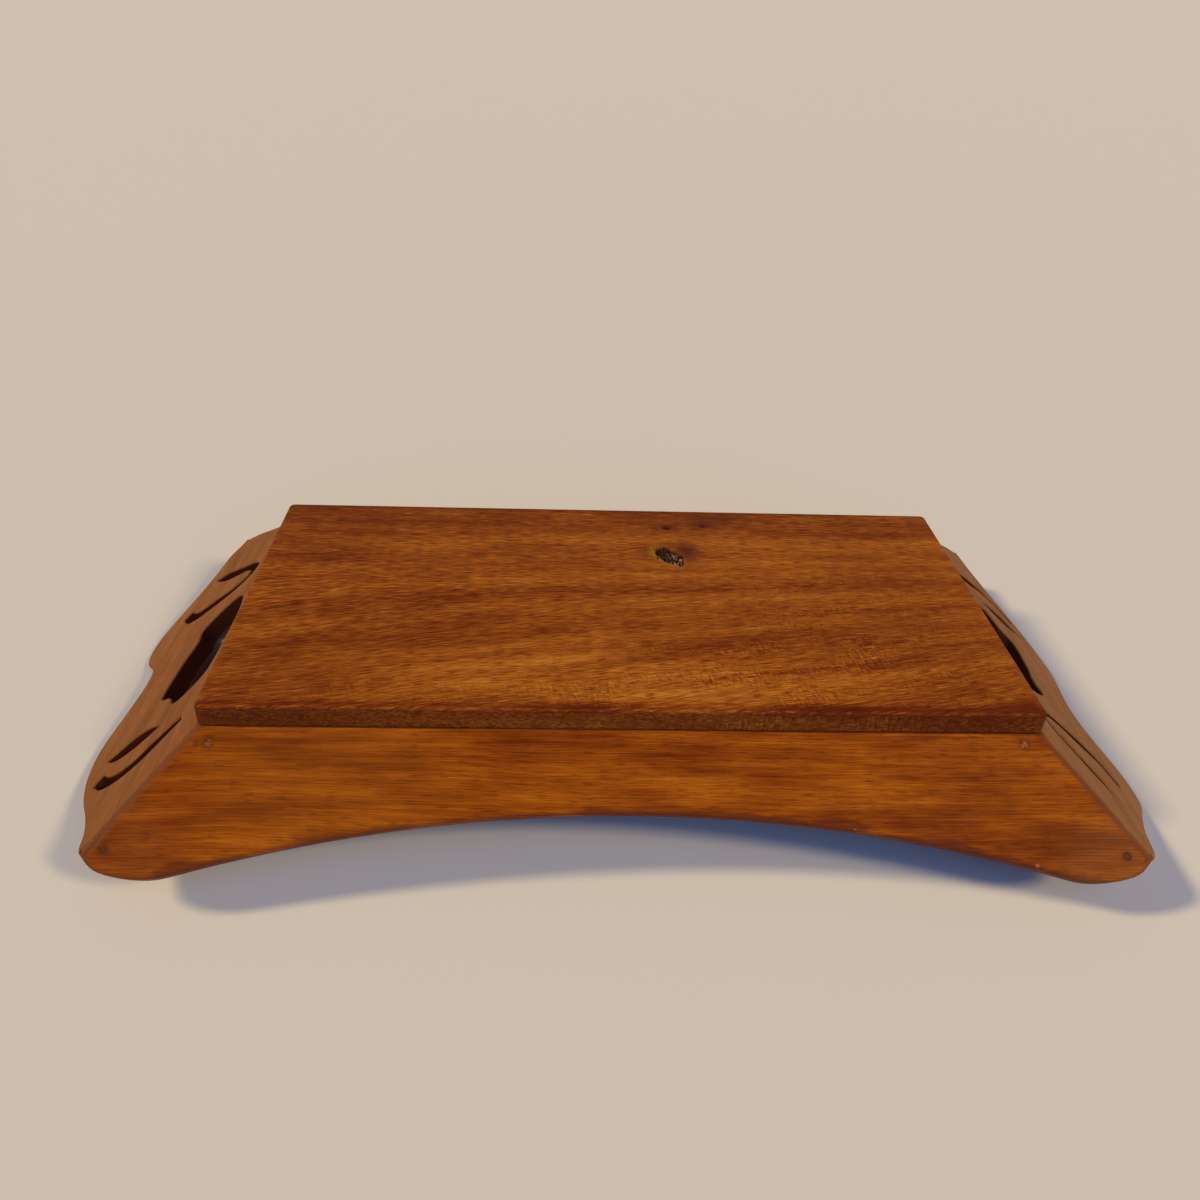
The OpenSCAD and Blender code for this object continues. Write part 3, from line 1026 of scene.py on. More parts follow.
# %% Read the outlines
MERGE_DISTANCE = 0.001 * MM
FLAT_ANGLE = math.radians(0.3)
NEAR = 0.02 * MM
NAILS = [item["node"] for item in frame["record"]["subparts"] if item["node"].endswith("nail")]
HEAD_RADIUS = 1.4 * MM


def nail_place(node):
    """Middle of a nail's head, which lies in the slope of a long side."""
    low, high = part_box(node)
    inwards = HEAD_RADIUS * math.cos(WALL_SLOPE)
    across = low.y + inwards if node.startswith("front") else high.y - inwards
    return Vector(((low.x + high.x) / 2, across, high.z - HEAD_RADIUS * math.sin(WALL_SLOPE)))


NAIL_PLACES = {node: nail_place(node) for node in NAILS}


def clean_copy(node):
    """A merged copy of a node's triangles, with triangles of one plane joined to one face."""
    copy = bmesh.new()
    copy.from_mesh(frame["nodes"][node].data)
    bmesh.ops.remove_doubles(copy, verts=copy.verts, dist=MERGE_DISTANCE)
    bmesh.ops.dissolve_limit(copy, angle_limit=FLAT_ANGLE, verts=copy.verts, edges=copy.edges)
    return copy


def face_loops(copy, axes):
    """Loops of vertices round the outer face and its holes. A step to the left goes into the wood."""
    outer = {face for face in copy.faces if all(abs((axes @ vertex.co).z) < NEAR for vertex in face.verts)}
    # A set has no fixed order, but a dict keeps one, so that each run gives the same mesh
    border = dict.fromkeys(
        edge for edge in copy.edges if sum(face in outer for face in edge.link_faces) == 1)
    while border:
        start = border.popitem()[0]
        face_loop = next(side for side in start.link_loops if side.face in outer)
        loop = [face_loop.link_loop_next.vert, face_loop.vert]
        while loop[-1] is not loop[0]:
            following = next(edge for edge in loop[-1].link_edges if edge in border)
            border.pop(following)
            loop.append(following.other_vert(loop[-1]))
        yield loop[:-1]


print("Nails:", len(NAILS), "first at", [round(v / MM, 1) for v in NAIL_PLACES[NAILS[0]]])

# %% [markdown]
# What a stretch of an outline is follows from where it lies: on the seat, on a mitre, or else on the rim.
# Every other outline is a sawn cut or the recess of a nail.

# %% Kinds of stretches


def stretch_kind(first, second):
    """Names what a stretch of a wall's main outline is."""
    if all(abs(end.z - SEAT) < NEAR for end in (first, second)):
        return "seat"
    if all(abs((abs(end.x) - HALF_LENGTH) - (abs(end.y) - HALF_WIDTH)) < NEAR for end in (first, second)):
        return "ridge"
    return "rim"


def inner_end(vertex, axes, thickness):
    """Where the edge that starts at a vertex of the outer face reaches the inner face."""
    straight = axes @ vertex.co + Vector((0, 0, thickness))
    ends = [axes @ edge.other_vert(vertex).co for edge in vertex.link_edges]
    reached = [end for end in ends if abs(end.z - thickness) < NEAR]
    return min(reached, key=lambda end: (end - straight).length, default=straight)


def wall_outlines(wall):
    """A wall's outlines, each with its columns and the kinds of its stretches, and its thickness."""
    axes = plank_axes(wall)
    copy = clean_copy(wall)
    thickness = max((axes @ vertex.co).z for vertex in copy.verts)
    outlines = []
    for loop in face_loops(copy, axes):
        kinds = [stretch_kind(a.co, b.co) for a, b in zip(loop, loop[1:] + loop[:1])]
        if "seat" in kinds:
            first = next(i for i, kind in enumerate(kinds) if kind == "rim" and kinds[i - 1] == "ridge")
            loop = loop[first:] + loop[:first]
            kinds = kinds[first:] + kinds[:first]
        else:
            middle = sum((vertex.co for vertex in loop), Vector()) / len(loop)
            is_nail = any((middle - place).length < MM for place in NAIL_PLACES.values())
            kinds = ["nail" if is_nail else "cut"] * len(loop)
        columns = [
            ((axes @ vertex.co).to_2d(), inner_end(vertex, axes, thickness).to_2d()) for vertex in loop]
        outlines.append((columns, kinds))
    copy.free()
    return outlines, thickness


packed_outlines = {wall: wall_outlines(wall) for wall in WALL_TURNS}
for wall, (outlines, thickness) in packed_outlines.items():
    print(wall, round(thickness / MM, 2), "mm thick, outlines:", [kinds[0] for columns, kinds in outlines])

# %% [markdown]
# A saw and sandpaper leave a flowing outline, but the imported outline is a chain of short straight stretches,
# with a real corner at each side of a blunted tip and where an arch runs into its toe. So the rim is split
# into stretches of a millimetre or two, and each column is then drawn a few times towards the middle of its
# two neighbours. Corners become curves, and what was round stays nearly where it was.

# %% Smooth the outlines
LONGEST_STRETCH = {"rim": 1.5 * MM, "ridge": 2.5 * MM}
SMOOTHINGS = 9


def split_outline(columns, kinds):
    """Splits the long stretches of a rim or a ridge."""
    finer = []
    finer_kinds = []
    for column, following, kind in zip(columns, columns[1:] + columns[:1], kinds):
        length = max((end - start).length for start, end in zip(column, following))
        pieces = math.ceil(length / LONGEST_STRETCH.get(kind, length))
        for piece in range(pieces):
            finer.append(tuple(start.lerp(end, piece / pieces) for start, end in zip(column, following)))
            finer_kinds.append(kind)
    return finer, finer_kinds


def smooth_outline(columns, kinds):
    """Draws each column inside the rim towards the middle of its neighbours."""
    inside = [i for i in range(len(kinds)) if kinds[i] == "rim" and kinds[i - 1] == "rim"]
    for _ in range(SMOOTHINGS):
        before = list(columns)
        for i in inside:
            beside = zip(before[i - 1], before[i], before[i + 1])
            columns[i] = tuple((left + 2 * own + right) / 4 for left, own, right in beside)
    return columns


print("Rims are smoothed", SMOOTHINGS, "times in steps of", LONGEST_STRETCH["rim"] / MM, "mm")

# %% [markdown]
# One tip, at the back left, was rubbed down further than the others. The columns near its point are drawn up
# along the ridge, a direction that keeps both walls flat and their mitre closed.

# %% Rub down one tip
RUBBED_WALLS = ("back_side", "left_end")
RUBBED_CORNER = (-1, 1)
RUBBED_DEPTH = 3.0 * MM
RUBBED_REACH = 12 * MM
RUBBED_SPREAD = 1.5


def rub_tip(wall, columns):
    """Draws the columns near the point of the rubbed corner up along its ridge."""
    axes = plank_axes(wall)
    signs = Vector((*RUBBED_CORNER, 0))
    ridge = (signs * math.cos(WALL_SLOPE) - Vector((0, 0, math.sin(WALL_SLOPE)))).normalized()
    corner = Vector((RUBBED_CORNER[0] * HALF_LENGTH, RUBBED_CORNER[1] * HALF_WIDTH, SEAT))
    upwards = (axes.to_3x3() @ -ridge).to_2d()
    offsets = [axes.inverted() @ outer.to_3d() - corner for outer, inner in columns]
    heights = [offset.dot(ridge) for offset in offsets]
    besides = [abs(offset.x * signs.x - offset.y * signs.y) for offset in offsets]
    point = max(height for height, beside in zip(heights, besides) if beside < NEAR)
    rubbed = []
    for (outer, inner), height, beside in zip(columns, heights, besides):
        share = smooth_step(1 - (point - height) / RUBBED_REACH)
        share *= smooth_step(RUBBED_SPREAD - beside / RUBBED_REACH)
        lift = upwards * RUBBED_DEPTH * share
        rubbed.append((outer + lift, inner + lift))
    return rubbed


def smoothed_outlines(wall):
    """A wall's outlines with their main one split, smoothed and rubbed."""
    smoothed = []
    for columns, kinds in packed_outlines[wall][0]:
        if "rim" in kinds:
            columns, kinds = split_outline(columns, kinds)
            columns = smooth_outline(columns, kinds)
            if wall in RUBBED_WALLS:
                columns = rub_tip(wall, columns)
        smoothed.append((columns, kinds))
    return smoothed


wall_shapes = {wall: smoothed_outlines(wall) for wall in WALL_TURNS}
for wall, outlines in wall_shapes.items():
    print(wall, "columns:", sum(len(kinds) for columns, kinds in outlines))

# %% [markdown]
# A rounded edge is a quarter circle: step by step it goes deeper into the plank and stands back less from its
# side. At a ridge only the part of a circle up to the mitre belongs to each wall, so that two walls together
# make one smooth round. A corner of an outline moves to where its two sides meet after they have stood back.

# %% Rounded edges
EDGE_SEGMENTS = 4
ROUNDINGS = {"rim": 1.7 * MM, "cut": 0.7 * MM}
RIDGE_RADIUS = 6.0 * MM
RIDGE_TURN = math.acos(math.cos(WALL_SLOPE) ** 2) / 2
# A corner's step is at most this many times as long as the steps of its sides
LONGEST_CORNER = 1.6
# A corner that turns less than this counts as straight
STRAIGHT_TURN = 0.1


def edge_profile(kind, step):
    """How far an edge stands back from its side, and how deep it lies, after some of its steps."""
    part = step / EDGE_SEGMENTS
    if kind in ROUNDINGS:
        angle = part * math.pi / 2
        return ROUNDINGS[kind] * (1 - math.sin(angle)), ROUNDINGS[kind] * (1 - math.cos(angle))
    angle = part * RIDGE_TURN
    depth = RIDGE_RADIUS * (1 - math.cos(angle))
    if kind == "seat":
        return 0.0, depth
    return RIDGE_RADIUS * (math.tan(RIDGE_TURN) - math.sin(angle)) - depth * math.tan(RIDGE_TURN), depth


def corner_step(before, place, after, back_before, back_after):
    """The step from a corner of an outline to where its sides meet after they have stood back."""
    first = (place - before).normalized().orthogonal()
    second = (after - place).normalized().orthogonal()
    turn = first.cross(second)
    if abs(turn) < STRAIGHT_TURN:
        return (first + second).normalized() * (back_before + back_after) / 2
    step_x = back_before * second.y - back_after * first.y
    step_y = back_after * first.x - back_before * second.x
    step = Vector((step_x, step_y)) / turn
    longest = LONGEST_CORNER * max(back_before, back_after)
    return step if step.length <= longest else step.normalized() * longest


print("A ridge turns", round(math.degrees(RIDGE_TURN), 1), "degrees on each wall")

# %% [markdown]
# Each ring of the loft is one step of the rounded edges, first from the outer face and then, in reverse
# order, from the inner one. At a tip the ridge's round passes over into the rim's. The rings also say how
# far into a rounded edge each vertex lies. The material darkens the rounded edges by that: partly wear from
# hands, and partly painted shade on the roundings.

# %% Rings of the loft
FULLY_WORN_AND_SHADED = 0.35 * MM
RECESS_DEPTH = 1.0 * MM
TIP_REACH = 12 * MM


def tip_share(columns, kinds):
    """For each column of a ridge, 1 at the tip and 0 further up than the tip's reach."""
    ends = [columns[i][0] for i in range(len(kinds)) if {kinds[i], kinds[i - 1]} == {"rim", "ridge"}]
    return [max((smooth_step(1 - (outer - end).length / TIP_REACH) for end in ends), default=0.0)
            for outer, inner in columns]


def loft_ring(columns, kinds, thickness, step, face):
    """Places of one ring in the plank, with how far into a rounded edge each lies. The face is 0 for the outer
    one, else 1.
    """
    ring = []
    count = len(columns)
    shares = tip_share(columns, kinds)
    for i in range(count):
        back_before, depth_before = edge_profile(kinds[i - 1], step)
        back_after, depth_after = edge_profile(kinds[i], step)
        depth = max(depth_before, depth_after)
        if "rim" not in (kinds[i], kinds[i - 1]) and "rim" in kinds:
            depth += (edge_profile("rim", step)[1] - depth) * shares[i]
        if face == 1:
            back_before *= kinds[i - 1] in ROUNDINGS
            back_after *= kinds[i] in ROUNDINGS
        around = [columns[j % count][face] for j in (i - 1, i, i + 1)]
        inwards = thickness - depth if face == 1 else depth
        place = columns[i][0].lerp(columns[i][1], inwards / thickness)
        place = place + corner_step(*around, back_before, back_after)
        # How far into a rounded edge a vertex lies; the material darkens by it, for wear and painted shade
        worn = min(1.0, min(max(back_before, back_after), depth) / FULLY_WORN_AND_SHADED)
        ring.append((Vector((place.x, place.y, inwards)), worn))
    return ring


def loft_rings(columns, kinds, thickness):
    """All rings of one outline, from the outer face to the inner one, or to the floor of a recess."""
    if kinds[0] == "nail":
        return [[(outer.to_3d() + Vector((0, 0, depth)), 0.0) for outer, inner in columns]
                for depth in (0.0, RECESS_DEPTH)]
    steps = range(EDGE_SEGMENTS + 1)
    outer_rings = [loft_ring(columns, kinds, thickness, step, 0) for step in steps]
    return outer_rings + [loft_ring(columns, kinds, thickness, step, 1) for step in reversed(steps)]


print("Rings of an outline:", 2 * (EDGE_SEGMENTS + 1))

# %% [markdown]
# The rings are joined by faces, and the two flat faces of the plank are filled with triangles between the
# outlines. A fill of the whole flat face keeps every hole open. What would lie below the table is slid up
# the slope, which sands the feet flat. The walls of sawn cuts are marked for the material.

# %% Loft the walls


def filled(rings, places):
    """Triangles between the outlines of one flat face, as numbers of vertices."""
    numbers = [number for ring in rings for number in ring]
    flat = [[places[number].to_2d().to_3d() for number in ring] for ring in rings]
    return [[numbers[i] for i in triangle] for triangle in tessellate_polygon(flat)]


def lofted_wall(wall):
    """A wall's mesh, lofted from its outlines."""
    to_frame = plank_axes(wall).inverted()
    places = []
    worn = []
    faces = []
    sawn = []
    outer_rings = []
    inner_rings = []
    for columns, kinds in wall_shapes[wall]:
        rings = []
        for ring in loft_rings(columns, kinds, packed_outlines[wall][1]):
            rings.append(range(len(places), len(places) + len(ring)))
            for place, wear in ring:
                below = min(0.0, (to_frame @ place).z)
                places.append(place + Vector((0, below / math.sin(WALL_SLOPE), 0)))
                worn.append(wear)
        for step, (ring, following) in enumerate(zip(rings, rings[1:])):
            for i in range(len(ring)):
                faces.append((ring[i - 1], ring[i], following[i], following[i - 1]))
                sawn.append(float(kinds[0] == "cut" and step == EDGE_SEGMENTS))
        outer_rings.append(rings[0])
        if kinds[0] == "nail":
            faces.append(list(rings[-1]))
        else:
            inner_rings.append(rings[-1])
    faces += filled(outer_rings, places) + filled(inner_rings, places)
    mesh = bpy.data.meshes.new(wall)
    mesh.from_pydata([to_frame @ place for place in places], [], faces)
    store(mesh, "worn", worn)
    marks = mesh.attributes.new("sawn", "FLOAT", "FACE")
    marks.data.foreach_set("value", sawn + [0.0] * (len(faces) - len(sawn)))
    return mesh


drafts = {wall: lofted_wall(wall) for wall in WALL_TURNS}
for wall, mesh in drafts.items():
    print(wall, len(mesh.polygons), "faces")

# %% [markdown]
# All faces are turned outwards, and edges that are sharper than the steps of a rounded edge stay crisp.
# Weighted Normal then lets the large flat faces keep their own normals, so that only the rounded edges shade
# as round.

# %% Shade the walls
CRISP_ANGLE = math.radians(35)


def shaded_wall(wall, mesh):
    """A wall's finished mesh, with its faces turned outwards and its normals weighted."""
    shape = bmesh.new()
    shape.from_mesh(mesh)
    bmesh.ops.recalc_face_normals(shape, faces=shape.faces)
    open_edges = sum(not edge.is_manifold for edge in shape.edges)
    shape.to_mesh(mesh)
    shape.free()
    mesh.shade_smooth()
    mesh.set_sharp_from_angle(angle=CRISP_ANGLE)
    draft = new_piece(wall + "_draft", mesh)
    draft.modifiers.new("flat_faces", "WEIGHTED_NORMAL").keep_sharp = True
    evaluated = draft.evaluated_get(bpy.context.evaluated_depsgraph_get())
    finished = bpy.data.meshes.new_from_object(evaluated)
    bpy.data.objects.remove(draft)
    print(wall, len(finished.polygons), "faces,", open_edges, "open edges")
    return finished


wall_meshes = {wall: shaded_wall(wall, mesh) for wall, mesh in drafts.items()}

# %% [markdown]
# ## Finishes of the walls
#
# Stain and varnish crept over the corners, so at a ridge the orange side and the tan end share one reddish
# brown that fades out over a few millimetres on both. How far a place lies from a ridge is told by Object
# coordinates: on the mitre, the steps past the board's end and past its edge are equal. Rounded edges are
# darker in the same way on all walls, half of the wood's own colour and half of a darker one: partly wear,
# and partly painted shade on the roundings.

# %% Colour along the ridges and edges
RIDGE_BLEED = 3.2
LEAST_BLEED = 0.2
RIDGE_STRENGTH = 0.75
RIDGE_COLOUR = "#6d391c"
BLEED_SIZE = (9, 9, 9)
BLEED_SEED = 71.0
# Share of the darker edge colour on the roundings: wear and painted shade
WORN_AND_SHADE_STRENGTH = 0.5


def ridge_bleed(tree, grain):
    """Share of the ridge colour: most on a mitred ridge, less beside it, with a ragged edge."""
    place = add_node(tree, "ShaderNodeTexCoord").outputs["Object"]
    size = add_node(tree, "ShaderNodeVectorMath", {0: place}, operation="ABSOLUTE")
    past_board = add_node(
        tree, "ShaderNodeVectorMath",
        {0: size.outputs[0], 1: (HALF_LENGTH, HALF_WIDTH, 0)}, operation="SUBTRACT")
    steps = add_node(tree, "ShaderNodeSeparateXYZ", {0: past_board.outputs[0]})
    difference = add_node(
        tree, "ShaderNodeMath", {0: steps.outputs["X"], 1: steps.outputs["Y"]}, operation="SUBTRACT")
    distance = add_node(tree, "ShaderNodeMath", {0: difference.outputs[0]}, operation="ABSOLUTE")
    ragged = streaks(tree, grain, BLEED_SIZE, detail=3.0, shift=BLEED_SEED)
    reach = add_node(
        tree, "ShaderNodeMath",
        {0: ragged, 1: 2 * RIDGE_BLEED * MM, 2: LEAST_BLEED * MM}, operation="MULTIPLY_ADD")
    return add_node(tree, "ShaderNodeMapRange", {
        "Value": distance.outputs[0], "From Min": reach.outputs[0], "From Max": 0.0,
        "To Max": RIDGE_STRENGTH}, interpolation_type="SMOOTHSTEP").outputs[0]


def worn_and_shaded_edges(tree):
    """How much of the darker edge colour shows, partly wear and partly painted shade, from the attribute worn.
    """
    worn = add_node(tree, "ShaderNodeAttribute", attribute_name="worn")
    return add_node(
        tree, "ShaderNodeMath", {0: worn.outputs["Fac"], 1: WORN_AND_SHADE_STRENGTH}, operation="MULTIPLY").outputs[0]


print("Ridge colour fades over", RIDGE_BLEED, "mm")

# %% [markdown]
# The long sides have a varnish of warm orange-brown, blotchy where the wood took it unevenly. The film is so
# thin that it needs no coat of its own: a smoother surface than the oiled board's is enough. All numbers of
# the look are in one table again.

# %% Look of the sides
# Varnished mahogany gives the eye a warm, even orange-brown with hairline grain, and dark edges of wear and
# painted shade
SIDE_LOOK = {
    "seed": 41.0, "band": 0.62, "streak": 0.55, "fibre": 0.66, "blotch": 0.90,
    "streak_size": (70, 1.8, 4), "fibre_size": HAIRLINE_SIZE,
    "ripple": 0.2, "ripple_reach": 1.0, "slant": 4,
    "tones": {0.0: "#451701", 0.28: "#622501", 0.5: "#7c3703", 0.72: "#924806", 1.0: "#a96110"},
    "pore_start": 0.58, "pore_depth": 0.45, "pore_colour": "#421704", "relief": 0.03,
    "roughness": 0.45, "roughness_spread": 0.14, "specular": 0.03,
}
WALL_SWAY = 8.0
# Each wall sways by another part of the noise
WALL_SWAY_SHIFTS = {"front_side": 0, "right_end": 9, "back_side": 18, "left_end": 27}
WALL_FIGURE = 0.4
print("Roughness of the sides:", SIDE_LOOK["roughness"], "of the board:", BOARD_LOOK["roughness"])

# %% [markdown]
# Each nail has bled a small dark stain into the wood. Nicks, a darker left tip, a paler right tip and paler
# patches have a place of their own too. They are round marks that fade towards their edges, given in the
# plank's own directions.

# %% Marks on the sides
# A round mark's reach in mm, its strength and its colour
STAIN = (3.2, 0.45, "#3a1508")
# The same, after the mark's place along the plank, down its slope and in from its face
MARKS = {"front_side": [
    ((78.9, 34.0, 0), 0.8, 0.5, "#a5693c"),
    ((141.8, 45.8, 0), 1.0, 0.45, "#a5693c"),
    ((-149.2, 6.0, 0), 1.7, 0.6, "#3d1706"),
    ((-147.2, 5.8, 0), 1.4, 0.5, "#3d1706"),
    ((-176.0, 50.0, 0), 34.0, 0.35, "#5a2a12"),
    ((172.0, 50.0, 0), 30.0, 0.16, "#8f5a2c"),
    ((-105.0, 25.0, 0), 60.0, 0.08, "#a8641a"),
]}
# A mark has its full strength up to this share of its reach
MARK_CORE = 0.4


def side_marks(wall):
    """The stains of a side's nails, and its own marks."""
    own_nails = [nail for nail in NAILS if nail.split("_")[0] == wall.split("_")[0]]
    stains = [(plank_axes(wall) @ NAIL_PLACES[nail] / MM, *STAIN) for nail in own_nails]
    return stains + MARKS.get(wall, [])


print("Marks on the front side:", len(side_marks("front_side")), "on the back:", len(side_marks("back_side")))

# %% [markdown]
# The varnish ran towards the arched rim and dried darker there. The rim is an arc of a circle, so how far a
# place lies from it is the distance from the circle's middle less its radius. Noise makes the run ragged.

# %% Varnished sides
ARCH_CROWN = 29.0
ARCH_RADIUS = 572.4
# How far noise moves the edge of the run, and how far the run fades out, in mm
RUN_RAGGEDNESS = 18.2
RUN_FADE = 2.1
RUN_STRENGTH = 0.6
RUN_SEED = 57.0
RUN_COLOUR = "#47170a"
SIDE_WORN_AND_SHADE_COLOUR = "#5c2c14"


def side_layout(wall):
    """Layout of a long side: a darker run along its rim, worn edges and round marks."""

    def lay_out(tree):
        place = straight_grain(tree, plank_axes(wall))
        grain = swayed(tree, place, WALL_SWAY, WALL_SWAY_SHIFTS[wall])
        on_face = add_node(tree, "ShaderNodeVectorMath", {0: place, 1: (1, 1, 0)}, operation="MULTIPLY")
        from_middle = add_node(
            tree, "ShaderNodeVectorMath",
            {0: on_face.outputs[0], 1: (0, ARCH_CROWN + ARCH_RADIUS, 0)}, operation="DISTANCE")
        ragged = streaks(tree, grain, BLOTCH_SIZE, detail=3.0, shift=RUN_SEED)
        edge_of_run = add_node(
            tree, "ShaderNodeMath",
            {0: ragged, 1: -RUN_RAGGEDNESS, 2: from_middle.outputs["Value"]}, operation="MULTIPLY_ADD")
        full_run = ARCH_RADIUS - RUN_RAGGEDNESS / 2
        run = add_node(tree, "ShaderNodeMapRange", {
            "Value": edge_of_run.outputs[0], "From Min": full_run + RUN_FADE, "From Max": full_run,
            "To Max": RUN_STRENGTH}, interpolation_type="SMOOTHSTEP")
        overlays = [
            (ridge_bleed(tree, grain), RIDGE_COLOUR),
            (run.outputs[0], RUN_COLOUR),
            # Darker rounded edges: wear, and painted shade
            (worn_and_shaded_edges(tree), SIDE_WORN_AND_SHADE_COLOUR),
        ]
        for middle, reach, strength, mark_colour in side_marks(wall):
            distance = add_node(tree, "ShaderNodeVectorMath", {0: place, 1: middle}, operation="DISTANCE")
            mark = add_node(tree, "ShaderNodeMapRange", {
                "Value": distance.outputs["Value"], "From Min": reach, "From Max": MARK_CORE * reach,
                "To Max": strength}, interpolation_type="SMOOTHSTEP")
            overlays.append((mark.outputs[0], mark_colour))
        return grain, 0.0, WALL_FIGURE, overlays

    return lay_out


print("The arch's middle lies", round(ARCH_CROWN + ARCH_RADIUS), "mm down the slope")

# %% [markdown]
# The ends were sanded after sawing and have hardly any finish left, so they are tan and matt, and their noise
# is weak. The walls of the cuts are painted dark: partly the darker end grain of a sawn face, and partly
# painted shade, as little light gets into a narrow cut. Each end also gets one number added to its tone, as
# painted light: most on the right end, which the stronger left lamp hardly reaches.

# %% Sanded ends
# Sanded mahogany gives the eye a dull, even tan with faint grain, and redder, darker rounded edges
END_LOOK = {
    "seed": 83.0, "band": 0.45, "streak": 0.40, "fibre": 0.45, "blotch": 0.40,
    "streak_size": (60, 1.6, 4), "fibre_size": HAIRLINE_SIZE,
    "ripple": 0.1, "ripple_reach": 1.0, "slant": 0,
    "tones": {0.0: "#51270e", 0.28: "#683715", 0.5: "#7e4820", 0.72: "#915a2d", 1.0: "#a56e3e"},
    "pore_start": 0.60, "pore_depth": 0.40, "pore_colour": "#5e361d", "relief": 0.03,
    "roughness": 0.62, "roughness_spread": 0.12, "specular": 0.04,
}
# Painted light: a lighter tone for each end, most for the right end that the left lamp hardly reaches
END_PAINTED_LIGHT = {"left_end": 0.07, "right_end": 0.24}
END_WORN_AND_SHADE_COLOUR = "#5c2f1c"
# Painted shade in the cuts, over the darker end grain of their sawn walls
SAWN_GRAIN_AND_SHADE_COLOUR = "#4a1c0a"


def end_layout(wall):
    """Layout of an end: its rounded edges darker and redder from wear and painted shade, its cuts painted
    dark.
    """

    def lay_out(tree):
        grain = swayed(tree, straight_grain(tree, plank_axes(wall)), WALL_SWAY, WALL_SWAY_SHIFTS[wall])
        sawn = add_node(tree, "ShaderNodeAttribute", attribute_name="sawn")
        overlays = [
            (ridge_bleed(tree, grain), RIDGE_COLOUR),
            # Darker rounded edges: wear, and painted shade
            (worn_and_shaded_edges(tree), END_WORN_AND_SHADE_COLOUR),
            # Painted shade in the cuts, over the darker end grain of their sawn walls
            (sawn.outputs["Fac"], SAWN_GRAIN_AND_SHADE_COLOUR),
        ]
        return grain, END_PAINTED_LIGHT[wall], WALL_FIGURE, overlays

    return lay_out


print("Sawn faces of each end:", {
    wall: sum(mark.value > 0 for mark in wall_meshes[wall].attributes["sawn"].data) for wall in END_PAINTED_LIGHT})

# %% [markdown]
# Each wall becomes a piece of its own with its own material. The look is shared, but the grain isn't: it runs
# along each plank, so the directions in the material differ from wall to wall.

# %% Place the walls
for wall, mesh in wall_meshes.items():
    piece = new_piece("rounded_" + wall, mesh)
    mesh.materials.clear()
    if wall.endswith("side"):
        mesh.materials.append(finished_wood("varnished_mahogany_" + wall, side_layout(wall), SIDE_LOOK))
    else:
        mesh.materials.append(finished_wood("sanded_mahogany_" + wall, end_layout(wall), END_LOOK))
    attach(piece, "root")
    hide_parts(wall)

# %% [markdown]
# ## The corner nails
#
# Two small panel nails hold each mitre, driven level through the long side into the end. All eight are one
# shape at eight places, so a Geometry Nodes tree makes them: a head with a slightly domed crown, a round
# shank, and a point. Each nail is a point of a small mesh, which also stores which way the nail is driven.
# Every hammer blow differs, so each nail is tilted a little by a random angle with a fixed seed.
#
# A crown and a point are made alike: a flat face is raised and drawn in.

# %% Sizes of a nail
NAIL_SIZES = {"Head Radius": HEAD_RADIUS, "Head Thickness": 0.8 * MM, "Crown": 0.16 * MM,
              "Shank Radius": 0.65 * MM, "Nail Length": 24 * MM, "Point Length": 2.4 * MM,
              "Wobble": math.radians(4)}


def raised(tree, mesh, face, rise, shrink):
    """The mesh with one face raised and drawn in, and that face."""
    longer = add_node(tree, "GeometryNodeExtrudeMesh", {
        "Mesh": mesh, "Selection": face, "Offset Scale": rise, "Individual": False})
    drawn_in = add_node(tree, "GeometryNodeScaleElements", {
        "Geometry": longer.outputs["Mesh"], "Selection": longer.outputs["Top"], "Scale": shrink})
    return drawn_in.outputs["Geometry"], longer.outputs["Top"]


print("Nails in mm:", NAIL_SIZES["Nail Length"] / MM, "long, heads", round(2 * HEAD_RADIUS / MM, 1), "wide")

# %% [markdown]
# A nail's head was pressed from wire, so it is a disc with a low crown. Two raised steps are enough for a
# crown this small. The head lies in the slope of the wall, and the top of its crown is level with the wood.

# %% Head of a nail
HEAD_SIDES = 28
CROWN_SHRINKS = (0.86, 0.62)


def nail_head(tree, sizes):
    """A crowned head that lies flush in the slope of a long side."""
    disc = add_node(tree, "GeometryNodeMeshCylinder", {
        "Vertices": HEAD_SIDES, "Radius": sizes["Head Radius"], "Depth": sizes["Head Thickness"]})
    rise = add_node(
        tree, "ShaderNodeMath", {0: sizes["Crown"], 1: 1 / len(CROWN_SHRINKS)}, operation="MULTIPLY")
    head = disc.outputs["Mesh"]
    top = disc.outputs["Top"]
    for shrink in CROWN_SHRINKS:
        head, top = raised(tree, head, top, rise.outputs[0], shrink)
    half_down = add_node(tree, "ShaderNodeMath", {0: sizes["Head Thickness"], 1: -0.5}, operation="MULTIPLY")
    drop = add_node(
        tree, "ShaderNodeMath", {0: half_down.outputs[0], 1: sizes["Crown"]}, operation="SUBTRACT")
    shift = add_node(tree, "ShaderNodeCombineXYZ", {"Z": drop.outputs[0]})
    flush = add_node(tree, "GeometryNodeTransform", {"Geometry": head, "Translation": shift.outputs[0]})
    return add_node(
        tree, "GeometryNodeTransform", {"Geometry": flush.outputs[0], "Rotation": (WALL_SLOPE, 0, 0)})


print("Crown of", NAIL_SIZES["Crown"] / MM, "mm in", len(CROWN_SHRINKS), "steps")

# %% [markdown]
# The shank is hidden in the wood, but the part is whole, so it is made too. A separate cone for the point
# would leave two faces back to back inside the nail. Here the shank's own end is drawn out to the point.

# %% Shank of a nail
SHANK_SIDES = 12
POINT_BLUNTNESS = 0.06


